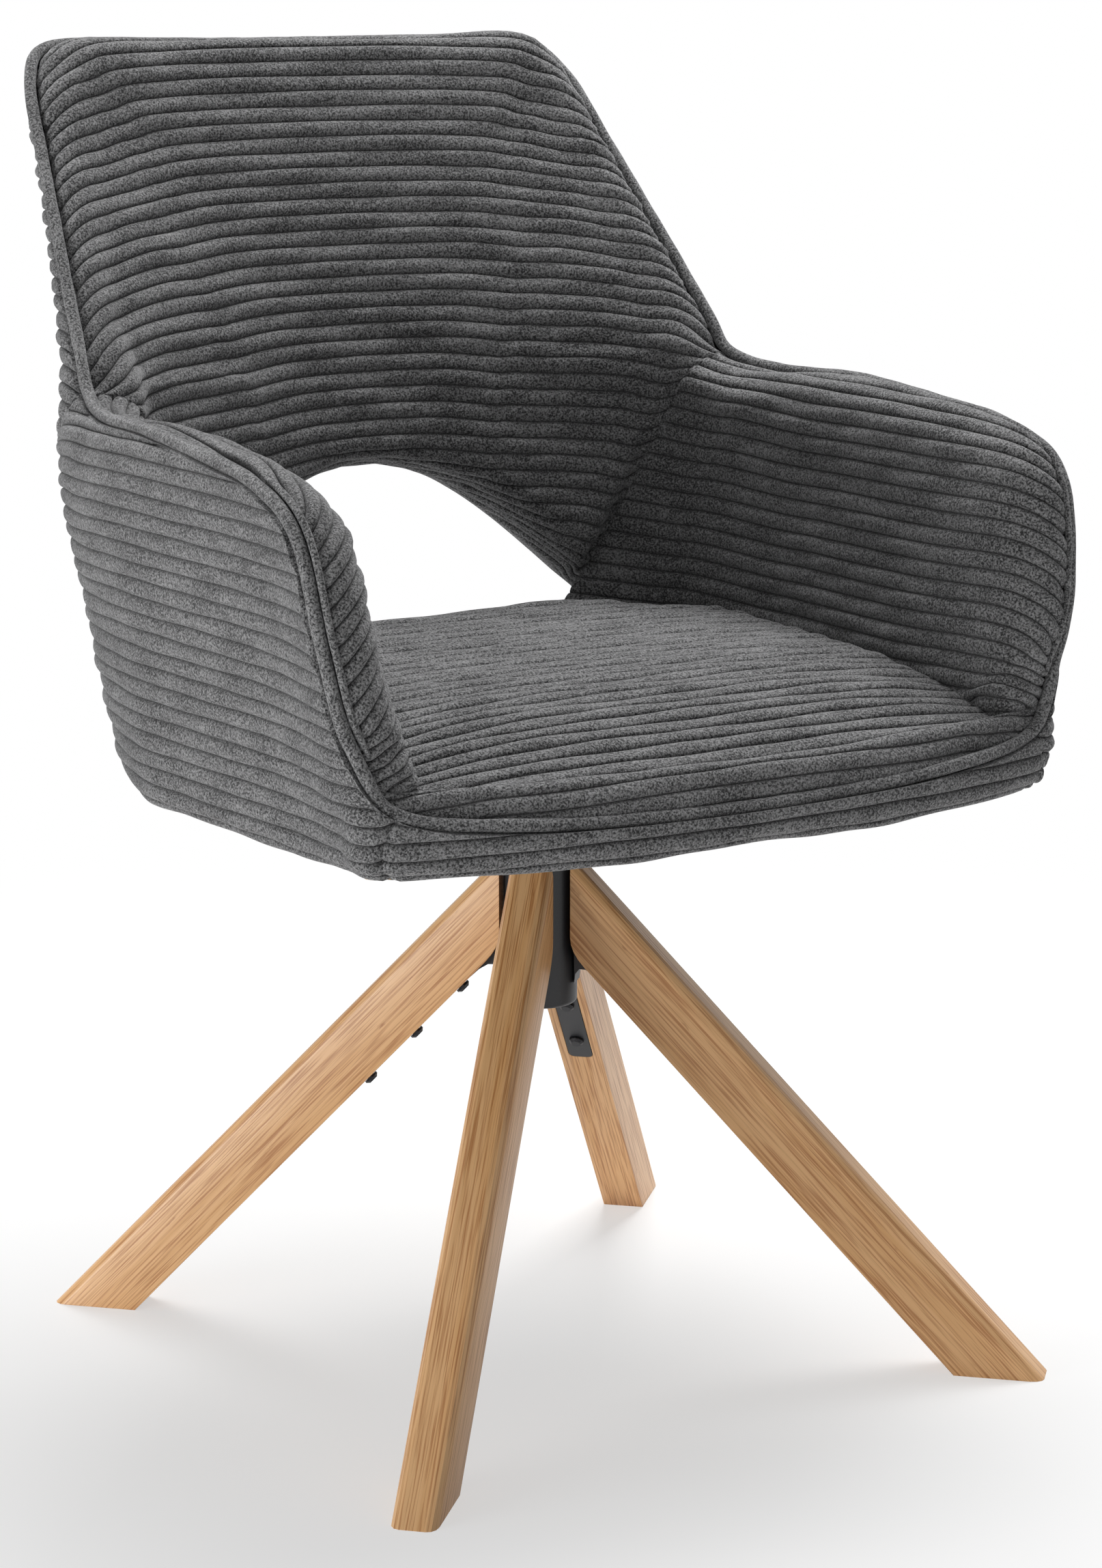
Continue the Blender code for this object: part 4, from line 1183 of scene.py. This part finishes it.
    def spanned(self, points: Array, weight: Array) -> Array:
        """Draws points of the back pad forward to where it spans the bucket's rear corners.

        At each height the span is a power curve of X through the pad's middle and its edges.

        Args:
            points: points of the pad's face.
            weight: how far each goes to the span, 0 to 1.

        Returns:
            The moved points.
        """
        heights, *curves = self.span
        middle, edge_x, edge_y = (np.interp(points[..., 2], heights, curve) for curve in curves)
        share = np.minimum(np.abs(points[..., 0]) / edge_x, 1) ** self.span_power
        target = middle - (middle - edge_y) * share
        move = np.clip(target - points[..., 1], -self.span_most, 0) * weight
        return points + move[..., None] * np.array([0.0, 1.0, 0.0])

    def wave(self, stations: Array, shares: Array) -> Array:
        """Drift of the back pad's ribs, which rise a little before each side edge."""
        form = self.form
        points = form.point(stations, shares)
        reach, _ = nearest(self.rim_line(-form.notch, form.notch)[0], points)
        bump = np.exp(-(((reach - self.wave_place) / self.wave_width) ** 2))
        low = smooth((form.top_z - points[..., 2]) / self.wave_below)
        return -self.wave_height * bump * low * between(np.abs(stations), *self.wave_start)

    def put(self, name: str, mesh: Mesh, material: Material, node: str) -> None:
        """Shows a soft piece in the place of its solid."""
        piece = show(name, mesh.to_blender(name), material, Body.SEAT, "corduroy", node)

    def upper(self, stations: Array) -> Array:
        """Height share of a cover's upper edge, lapped under the piping."""
        return self.form.top(stations) + self.lap / self.form.height(stations)

    def arch_edge(self, stations: Array) -> Array:
        """Height share of the edge that wraps the arch."""
        return self.form.arch(stations) - self.arch_wrap / self.form.height(stations)

    def sill(self, stations: Array) -> Array:
        """Height share of the edge that wraps the arch's sill."""
        return self.form.share_at(stations, self.form.arch_sill + self.sill_over)

    def make_cover(
        self, name: str, node: str, ends: Pair, level: float, stretch: Stretch = Stretch.WHOLE
    ) -> None:
        """Makes an outer cover.

        Args:
            name: name of the piece.
            node: the solid that it stands for.
            ends: stations of its two seams.
            level: height from which its ribs are counted.
            stretch: how much of the bucket's height it takes.
        """
        form = self.form
        stations = form.columns(*ends, self.column)
        low, high, fade = np.zeros(stations.shape), self.upper(stations), self.hem
        if stretch is Stretch.ABOVE:
            low, fade = self.arch_edge(stations), self.arch_fade
        if stretch is Stretch.BELOW:
            high = self.sill(stations)
        faces = self.outer(ends, stretch)
        cloth = Corduroy(self.wale, *faces, Shows.OUTWARD, form.run, fade=fade)
        mesh = cloth.lay(stations, low, high, form.share_at(stations, level))
        self.put(name, mesh, self.finishes.corduroy, node)

    def make_arm(self, side: Side) -> None:
        """One arm: its outer cover, and the pad that rolls over its top and front."""
        form, name = self.form, side.name.lower()
        ends = tuple(sorted((side.value * form.notch, side.value * form.corner)))
        self.make_cover(f"outer_arm_{name}", f"outer_arm_cover_{name}", ends, self.arm_level)
        ends = tuple(sorted((side.value * form.notch, side.value * self.arm_end)))
        stations = form.columns(*ends, 0.5 * self.column)
        cloth = Corduroy(self.wale, *self.padded(*ends, False), Shows.INWARD, form.run)
        top = form.top(stations)
        foot = np.minimum(form.share_at(stations, self.pad_foot), top - self.pad_least)
        level = np.minimum(form.share_at(stations, self.pad_level), top)
        mesh = cloth.lay(stations, foot, top, level)
        self.put(f"inner_arm_{name}", mesh, self.finishes.corduroy, f"arm_pad_{name}")

    def make_back_pad(self) -> None:
        """The pad inside the back, wrapped round the arch's edge."""
        form = self.form
        ends = (-form.notch, form.notch)
        stations = form.columns(*ends, 0.8 * self.column)
        faces = self.padded(*ends, True)
        cloth = Corduroy(self.wale, *faces, Shows.INWARD, form.run, self.wave, self.arch_fade)
        level = form.share_at(stations, self.back_level)
        mesh = cloth.lay(stations, self.arch_edge(stations), form.top(stations), level)
        self.put("inner_back", mesh, self.finishes.corduroy, "back_pad")

    def make_piping(self) -> None:
        """The cord sewn round the whole rim, and a thin welt beside it on each arm's front."""
        form, radius = self.form, self.piping_radius
        stations = np.linspace(-form.front, form.front, 900, endpoint=False)
        points, inward, square = form.edge_frame(stations)
        path = points + inward * self.piping_set + square * (radius + self.piping_fit)
        walk = walked(path)
        even = np.linspace(0, walk[-1], int(walk[-1] / self.piping_step), endpoint=False)
        share, fast, slow = self.piping_waver
        waver = 1 + share * np.sin(fast * even) * np.sin(slow * even)
        mesh = tube(read_curve(even, walk, path), radius * waver, 14)
        count = np.arange(120)
        taper = edge_round(np.minimum(count, count[::-1]).astype(float), 12.0)
        welt = self.welt_radius * np.maximum(taper, 1e-5)
        beside = self.piping_set + radius + self.welt_set * self.welt_radius
        for side in Side:
            stations = side.value * np.linspace(*self.welt_ends, len(count))
            points, inward, square = form.edge_frame(stations)
            path = points + inward * beside + square * (self.welt_over * radius)
            mesh = mesh.joined(tube(path, welt, 12, closed=False))
        self.put("piping", mesh, self.finishes.cord, "rim_piping")

    def board(self, ends: Pair, low: Edge, high: Edge) -> Mesh:
        """A slab of the moulded board between two edges that are shares of the stations."""
        form = self.form
        stations = form.columns(*ends, self.board_step)
        start, stop = low(stations), high(stations)
        shares = start + (np.maximum(stop, start + 0.01) - start) * np.linspace(0, 1, 14)[:, None]
        grid = np.broadcast_to(stations, shares.shape)
        uv = np.stack([grid * 0.05, shares * 0.3], axis=-1)
        return slab(*(form.sunk(grid, shares, depth) for depth in self.board_faces), uv)

    def make_shell(self) -> None:
        """The moulded board inside the upholstery, kept back from every visible edge."""
        form, back = self.form, self.board_back

        def under(stations: Array) -> Array:
            """Edge above the hem."""
            return back / form.height(stations)

        def over(stations: Array) -> Array:
            """Edge below the piping."""
            return form.top(stations) - back / form.height(stations)

        def arch(stations: Array) -> Array:
            """Edge above the arch."""
            return form.arch(stations) + back / form.height(stations)

        def sill(stations: Array) -> Array:
            """Edge below the arch."""
            return form.share_at(stations, form.arch_sill - self.board_sill)

        near, far = form.notch - self.board_seam, form.notch + self.board_seam
        mesh = self.board((far, 2 * form.front - far), under, over)
        for edges in ((arch, over), (under, sill)):
            mesh = mesh.joined(self.board((-near, near), *edges))
        made, finish = mesh.to_blender("shell_board"), self.finishes.plywood
        show("shell_board", made, finish, Body.SEAT, "plywood", "bucket_shell")

    def make(self) -> None:
        """Makes every upholstered piece of the bucket."""
        form = self.form
        rear, front = (-form.notch, form.notch), (form.corner, 2 * form.front - form.corner)
        for side in Side:
            self.make_arm(side)
        self.make_cover("outer_back", "outer_back_cover", rear, self.back_level, Stretch.ABOVE)
        self.make_cover("rear_band", "rear_band_cover", rear, self.band_level, Stretch.BELOW)
        self.make_cover("apron", "front_apron", front, self.apron_level)
        self.make_back_pad()
        self.make_piping()
        self.make_shell()


@dataclass(frozen=True)
class Cushion:
    """The seat cushion: a cover sewn round its outline and drawn down over its foam.

    Its sheet has two shares: from -1 to 1 across the seat, and from 0 at the front to 1 at
    the rear. A fall is the width over which the foam falls off, and its power.
    """

    form: BucketForm
    finishes: Finishes
    wale: Wale = Wale()
    seam: float = 0.450
    seam_rise: float = 0.006
    crown: float = 0.4905
    bottom: float = 0.4068
    bottom_share: float = 0.99
    side_depth: float = 0.0370
    rear_depth: float = 0.0128
    front_depth: float = 0.0075
    side_start: Pair = (5.5, 1.8)
    front_start: Pair = (12.2, 2.2)
    rear_corner: float = 8.0
    front_fall: Pair = (0.205, 2.8)
    front_square: float = 0.20
    side_fall: Pair = (0.190, 2.7)
    side_round: float = 0.030
    side_share: float = 0.80
    square_from: float = 0.36
    rear_fall: Pair = (0.090, 2.0)
    pressure: float = 4.0
    stiffness: float = 40.0
    bending: float = 5.0
    frames: int = 20
    cap: float = 0.010
    cells: tuple[int, int] = (72, 60)
    columns: int = 110
    level_y: float = 0.02

    def edge(self, first: float, last: float) -> Array:
        """A stretch of the seam at even steps, as points on the pads, the board or the piping."""
        form = self.form
        stations = np.linspace(first, last, 500)
        near = form.from_back(stations)
        forward = between(near, *self.front_start)
        sideways = between(near, *self.side_start)
        deep = self.rear_depth + (self.side_depth - self.rear_depth) * sideways
        deep = deep + (self.front_depth - deep) * forward
        shares = np.minimum(form.share_at(stations, self.seam), form.top(stations))
        points = form.inset(stations, shares, deep)
        lifted = np.minimum(points[:, 2] + self.seam_rise, self.seam)
        points[:, 2] += (lifted - points[:, 2]) * forward
        walk = walked(points)
        return read_curve(np.linspace(0, walk[-1], 400), walk, points)

    @cached_property
    def seams(self) -> tuple[Array, Array, Array, Array]:
        """Front and rear seams from left to right, left and right seams from front to rear."""
        corner, rear, loop = self.form.corner, self.rear_corner, 2 * self.form.front
        front = self.edge(loop - corner, corner)
        return front, self.edge(-rear, rear), self.edge(-corner, -rear), self.edge(corner, rear)

    def start(self, across: Array, ahead: Array) -> Array:
        """Points of the sheet before it is drawn down.

        The seams span a Coons patch, and the foam lifts it toward the crown by the product
        of three power curves: of the distance from the front, the rear and the sides, where
        a quarter round takes a share of the lift that grows from the front to the middle.
        The front's curve is steeper at the sides.

        Args:
            across: shares from left to right.
            ahead: shares from front to rear, in the same shape.

        Returns:
            One point per pair of shares.
        """
        front, rear, left, right = self.seams
        u, v = (across[..., None] + 1) / 2, ahead[..., None]

        def read(curve: Array, share: Array) -> Array:
            """Points of a seam at shares of its length."""
            return read_curve(share[..., 0] * (len(curve) - 1), np.arange(len(curve)), curve)

        bottom, top = read(front, u), read(rear, u)
        west, east = read(left, v), read(right, v)
        near, far = ((1 - u) * seam[0] + u * seam[-1] for seam in (front, rear))
        patch = (1 - v) * bottom + v * top + (1 - u) * west + u * east - ((1 - v) * near + v * far)
        length = np.linalg.norm(top - bottom, axis=-1)
        half = np.linalg.norm(east - west, axis=-1) / 2
        inside = (1 - np.abs(across)) * half
        front_width = self.front_fall[0] * (1 - self.front_square * across**2)

        def lift(share: Array, power: float) -> Array:
            """Share of the crown's height at a share of a fall's width."""
            return 1 - (1 - np.clip(share, 0, 1)) ** power

        front_lift = lift(ahead * length / front_width, self.front_fall[1])
        rear_lift = lift((1 - ahead) * length / self.rear_fall[0], self.rear_fall[1])
        side_lift = lift(inside / self.side_fall[0], self.side_fall[1])
        square = self.side_share * smooth(ahead / self.square_from)
        side_lift = side_lift + (edge_round(inside, self.side_round) - side_lift) * square
        patch[..., 2] += (self.crown - patch[..., 2]) * front_lift * rear_lift * side_lift
        return patch

    @cached_property
    def settled(self) -> Array:
        """How far each cell corner of the sheet moves under pressure in a cloth simulation.

        A closed cover with this sheet on top is held along its seams and underneath, without
        gravity. The pressure draws the sheet down, over most of its area as far as the cap.
        """
        columns, rows = self.cells
        across, ahead = np.meshgrid(np.linspace(-1, 1, columns), np.linspace(0, 1, rows))
        sheet = self.start(across, ahead)
        under = sheet.copy()
        under[..., 2] = self.bottom
        mesh = slab(sheet, under, np.zeros((rows, columns, 2)))
        data = bpy.data.meshes.new("settling")
        data.from_pydata(mesh.points.tolist(), [], mesh.quads[:, ::-1].tolist())
        bag = linked("settling", data)
        held = np.ones((2, rows, columns), bool)
        held[0, 1:-1, 1:-1] = False
        group = bag.vertex_groups.new(name="seams")
        group.add(np.flatnonzero(held.ravel()).tolist(), 1.0, "REPLACE")
        cloth = bag.modifiers.new("cloth", "CLOTH")
        cloth.settings.vertex_group_mass = group.name
        cloth.settings.use_pressure = True
        cloth.settings.uniform_pressure_force = self.pressure
        cloth.settings.effector_weights.gravity = 0.0
        cloth.settings.tension_stiffness = self.stiffness
        cloth.settings.compression_stiffness = self.stiffness
        cloth.settings.bending_stiffness = self.bending
        cloth.point_cache.frame_end = self.frames
        scene = bpy.context.scene
        for number in range(1, self.frames + 1):
            scene.frame_set(number)
        shown = bag.evaluated_get(bpy.context.evaluated_depsgraph_get())
        moved = mesh_points(shown.data)[: rows * columns]
        move = moved.reshape(rows, columns, 3) - sheet
        bpy.data.objects.remove(bag)
        scene.frame_set(1)
        size = np.linalg.norm(move, axis=-1, keepdims=True)
        log.info("cushion sheet moves by up to %.1f mm before the cap", 1000 * size.max())
        return move * np.minimum(1, self.cap / np.maximum(size, 1e-9))

    def face(self, across: Array, ahead: Array) -> Array:
        """Points of the top: the start plus the moves read straight between corners."""
        rows, columns = self.settled.shape[:2]
        x, y = (across + 1) / 2 * (columns - 1), ahead * (rows - 1)
        i, j = np.clip(y.astype(int), 0, rows - 2), np.clip(x.astype(int), 0, columns - 2)
        s, t = (y - i)[..., None], (x - j)[..., None]
        near = self.settled[i, j] * (1 - t) + self.settled[i, j + 1] * t
        far = self.settled[i + 1, j] * (1 - t) + self.settled[i + 1, j + 1] * t
        return self.start(across, ahead) + near * (1 - s) + far * s

    def back(self, across: Array, ahead: Array) -> Array:
        """Points of the flat underside, a little smaller than the top."""
        flat = np.array([self.bottom_share, self.bottom_share, 0.0])
        return self.start(across, ahead) * flat + self.bottom * UP

    def make(self) -> None:
        """Makes the cushion, its ribs across the seat."""
        columns = np.linspace(-1, 1, self.columns)
        shares = np.linspace(0, 1, 400)
        spread = self.start(*np.broadcast_arrays(columns[None], shares[:, None]))[..., 1]
        level = np.array([np.interp(self.level_y, line, shares) for line in spread.T])
        cloth = Corduroy(self.wale, self.face, self.back, Shows.INWARD)
        zero = np.zeros(len(columns))
        mesh = cloth.lay(columns, zero, zero + 1, level).to_blender("cushion")
        finish = self.finishes.corduroy
        piece = show("cushion", mesh, finish, Body.SEAT, "corduroy", "seat_cushion")


@dataclass(frozen=True)
class DustCover:
    """The black cloth stapled under the seat, with a window for the swivel plate."""

    form: BucketForm
    finishes: Finishes
    height: float = 0.3931
    thickness: float = 0.0008
    inset: float = 0.0126
    window: float = 0.0858
    sag: Triple = (0.0006, 60.0, 50.0)

    def make(self) -> None:
        """Makes the cloth as rings between the window and the seat's outline."""
        stations = np.linspace(-self.form.front, self.form.front, 240)
        shares = self.form.share_at(stations, self.height)
        rim = self.form.inset(stations, shares, self.inset)[:, :2]
        hole = rim * (self.window / np.abs(rim).max(axis=1, keepdims=True))
        share = np.linspace(0, 1, 16)[:, None, None]
        flat = hole + (rim - hole) * share
        most, along_x, along_y = self.sag
        ripple = np.sin(along_x * flat[..., 0]) * np.sin(along_y * flat[..., 1])
        sag = np.abs(most * np.sin(math.pi * share[..., 0]) * ripple)
        low = np.concatenate([flat, (self.height - sag)[..., None]], axis=-1)
        mesh = slab(low, low + self.thickness * UP, flat).to_blender("dust_cloth")
        finish = self.finishes.felt
        piece = show("dust_cloth", mesh, finish, Body.SEAT, "black_felt", "dust_cover")


@dataclass(frozen=True)
class Undercarriage:
    """The hub, the oak legs, the seat board and the fixings.

    The hub's corners are radius and height, and its foot's rounded edge is the radius and
    height of its centre, and its own radius. Angles are degrees.
    """

    form: BucketForm
    finishes: Finishes
    board_z: float = 0.400
    board_inset: float = 0.008
    hub_foot: Triple = (0.0225, 0.241, 0.003)
    hub_corners: tuple[Pair, ...] = (
        *((0.0165, 0.238), (0.0165, 0.378), (0.0232, 0.378), (0.024, 0.3772)),
        *((0.024, 0.280), (0.0243, 0.277), (0.0252, 0.270), (0.0255, 0.266)),
    )
    hub_crease: float = 40.0
    slope: float = math.atan2(0.340, 0.347 - 0.024)
    bevel: float = 0.0025
    bevel_steps: int = 3
    bevel_from: float = 50.0
    leg_crease: float = 35.0
    grain_shift: float = 0.37
    legs: tuple[tuple[str, float], ...] = (
        ("rear_right", 45.0),
        ("rear_left", 135.0),
        ("front_left", 225.0),
        ("front_right", 315.0),
    )

    def make_hub(self) -> None:
        """The hub tube: a straight tube with a thicker foot and a rounded lower edge."""
        turn = np.linspace(0, math.pi / 2, 6)
        radius, height, edge = self.hub_foot
        foot = np.stack([radius + edge * np.cos(turn), height - edge * np.sin(turn)], axis=-1)
        profile = np.concatenate([foot, np.array(self.hub_corners)])
        mesh = lathe(profile, 96).to_blender("hub", self.hub_crease)
        show("hub", mesh, self.finishes.coat, Body.BASE, "black_powder_coat", "hub_tube")

    def make_legs(self) -> None:
        """Copies of the leg solids, merged and given a grain that runs along each leg."""
        for number, (name, angle) in enumerate(self.legs):
            mesh = solid_copy(f"leg_{name}", flat=0.01)
            mesh.shade_smooth()
            mesh.set_sharp_from_angle(angle=math.radians(self.leg_crease))
            self.add_grain(mesh, math.radians(angle), self.grain_shift * number)
            oak = self.finishes.oak
            piece = show(f"oak_leg_{name}", mesh, oak, Body.BASE, "oak", f"leg_{name}")
            bevel = piece.modifiers.new("edges", "BEVEL")
            bevel.width = self.bevel
            bevel.segments = self.bevel_steps
            bevel.limit_method = "ANGLE"
            bevel.angle_limit = math.radians(self.bevel_from)

    def add_grain(self, mesh: bpy.types.Mesh, angle: float, shift: float) -> None:
        """Stores at each point its place along, across and through the leg.

        Args:
            mesh: the leg's mesh.
            angle: direction of the leg about the column.
            shift: offset along the grain, so that no two legs are alike.
        """
        level, fall = math.cos(self.slope), math.sin(self.slope)
        down = np.array([math.cos(angle) * level, math.sin(angle) * level, -fall])
        across = np.array([-math.sin(angle), math.cos(angle), 0.0])
        axes = np.stack([down, across, np.cross(down, across)])
        grain = (mesh_points(mesh) - AXIS) @ axes.T + shift * np.array([1.0, 0.6, 0.3])
        layer = mesh.attributes.new("grain", "FLOAT_VECTOR", "POINT")
        layer.data.foreach_set("vector", grain.astype(np.float32).ravel())

    def make_board(self) -> None:
        """A copy of the seat board's solid, held inside the bucket's tapered front corners."""
        mesh = solid_copy("seat_board")
        points = mesh_points(mesh)
        stations = np.linspace(self.form.notch, self.form.front, 400)
        edge = self.form.point(stations, self.form.share_at(stations, self.board_z))
        edge = edge[np.argsort(edge[:, 1])]
        half = np.interp(points[:, 1] - AXIS_Y, edge[:, 1], edge[:, 0]) - self.board_inset
        points[:, 0] = np.clip(points[:, 0], -half, half)
        mesh.vertices.foreach_set("co", points.ravel())
        mesh.update()
        show("seat_panel", mesh, self.finishes.plywood, Body.SEAT, "plywood", "seat_board")

    def dress_nodes(self) -> None:
        """Gives every solid that still shows its finish."""
        finishes = self.finishes
        words = {
            "tongue": finishes.coat,
            "swivel_plate": finishes.coat,
            "bolt": finishes.zinc,
            "spindle": finishes.steel,
            "bush": finishes.nylon,
            "thrust_washer": finishes.nylon,
        }
        for name, node in frame["nodes"].items():
            for finish in [finish for word, finish in words.items() if word in name]:
                node.data.materials.clear()
                node.data.materials.append(finish)
                log.info("%s: finish %s", name, finish.name)

    def make(self) -> None:
        """Makes the hub, the legs and the seat board, and dresses the fixings."""
        self.make_hub()
        self.make_legs()
        self.make_board()
        self.dress_nodes()


def seen_rays(tree: bpy.types.NodeTree) -> Socket:
    """One for rays from the camera, straight or by a mirror or glass, and none for light."""
    path = tree.nodes.new("ShaderNodeLightPath")
    total = path.outputs["Is Camera Ray"]
    for name in ("Is Glossy Ray", "Is Transmission Ray"):
        either = tree.nodes.new("ShaderNodeMath")
        either.operation = "MAXIMUM"
        tree.links.new(total, either.inputs[0])
        tree.links.new(path.outputs[name], either.inputs[1])
        total = either.outputs[0]
    return total


@dataclass(frozen=True)
class Studio:
    """Floor, light and the camera of the photo.

    A light has a place, a width and height, and its power in watts.
    """

    azimuth: float = -32.2
    elevation: float = 10.84
    distance: float = 2.6
    aim: float = 0.45
    lens: float = 89.67
    shift: Pair = (0.0074, -0.0588)
    floor: float = 90.0
    floor_colour: tuple[float, ...] = (0.92, 0.92, 0.92, 1.0)
    fade: Pair = (0.35, 1.5)
    least: float = 0.55
    ambient: float = 0.26
    light_aim: Triple = (0.0, 0.0, 0.5)
    lights: tuple[tuple[str, Triple, Pair, float], ...] = (
        ("key", (0.90, 0.75, 3.0), (1.8, 1.8), 108.0),
        ("fill", (-3.10, -0.20, 0.30), (1.6, 0.8), 58.0),
    )

    def make_floor(self) -> None:
        """A pale floor that keeps the shadow and turns white away from the chair."""
        mesh = bpy.data.meshes.new("floor")
        corners = np.array([(-1, -1, 0), (1, -1, 0), (1, 1, 0), (-1, 1, 0)]) * self.floor
        mesh.from_pydata(corners.tolist(), [], [(0, 1, 2, 3)])
        shader = Shader("floor")
        shader.put("Base Color", self.floor_colour)
        shader.put("Roughness", 0.9)
        shader.put("Specular IOR Level", 0.1)
        length = shader.add("ShaderNodeVectorMath", operation="LENGTH")
        shader.feed(length.inputs[0], shader.place((1.0, 1.0, 0.0)))
        fade = shader.add("ShaderNodeMapRange", interpolation_type="SMOOTHSTEP")
        fade.inputs["From Min"].default_value, fade.inputs["From Max"].default_value = self.fade
        fade.inputs["To Min"].default_value = self.least
        shader.feed(fade.inputs["Value"], length.outputs["Value"])
        share = shader.math("MULTIPLY", fade.outputs["Result"], seen_rays(shader.tree))
        mix = shader.add("ShaderNodeMixShader")
        white = shader.add("ShaderNodeEmission").outputs["Emission"]
        for socket, value in zip(mix.inputs, (share, shader.surface.outputs["BSDF"], white)):
            shader.feed(socket, value)
        output = shader.tree.nodes["Material Output"]
        shader.feed(output.inputs["Surface"], mix.outputs["Shader"])
        mesh.materials.append(shader.material)
        linked("floor", mesh)

    def add_area(self, name: str, place: Triple, size: Pair, power: float) -> None:
        """A soft light of this width and height at a place, aimed at the seat."""
        data = bpy.data.lights.new(name, "AREA")
        data.shape = "RECTANGLE"
        data.size, data.size_y = size
        data.energy = power
        light = linked(name, data)
        back = Vector(place) - Vector(self.light_aim)
        light.location = place
        light.rotation_euler = back.to_track_quat("Z", "Y").to_euler()

    def make_light(self) -> None:
        """A bright surround, a large key from above and a weak fill."""
        world = bpy.data.worlds.new("studio")
        world.use_nodes = True
        bpy.context.scene.world = world
        nodes, links = world.node_tree.nodes, world.node_tree.links
        seen, ambient = nodes["Background"], nodes.new("ShaderNodeBackground")
        for background, strength in ((seen, 1.0), (ambient, self.ambient)):
            background.inputs["Color"].default_value = (1, 1, 1, 1)
            background.inputs["Strength"].default_value = strength
        mix = nodes.new("ShaderNodeMixShader")
        links.new(seen_rays(world.node_tree), mix.inputs["Fac"])
        links.new(ambient.outputs[0], mix.inputs[1])
        links.new(seen.outputs[0], mix.inputs[2])
        links.new(mix.outputs[0], nodes["World Output"].inputs["Surface"])
        for light in self.lights:
            self.add_area(*light)

    def make_camera(self) -> None:
        """The camera at the photo's place."""
        a, e = math.radians(self.azimuth), math.radians(self.elevation)
        back = Vector((math.sin(a) * math.cos(e), -math.cos(a) * math.cos(e), math.sin(e)))
        data = bpy.data.cameras.new("camera")
        data.lens = self.lens
        data.shift_x, data.shift_y = self.shift
        camera = linked("camera", data)
        camera.location = Vector((0, AXIS_Y, self.aim)) + self.distance * back
        camera.rotation_euler = back.to_track_quat("Z", "Y").to_euler()
        bpy.context.scene.camera = camera

    def make(self) -> None:
        """Sets up the whole studio."""
        self.make_floor()
        self.make_light()
        self.make_camera()
        bpy.context.scene.view_settings.view_transform = "Standard"


def main() -> None:
    """Builds the chair's looks, then the studio."""
    logging.basicConfig(level=logging.INFO, format="%(name)s: %(message)s")
    finishes = Finishes()
    form = BucketForm()
    Upholstery(form, finishes).make()
    Cushion(form, finishes).make()
    DustCover(form, finishes).make()
    Undercarriage(form, finishes).make()
    Studio().make()


if __name__ == "__main__":
    main()
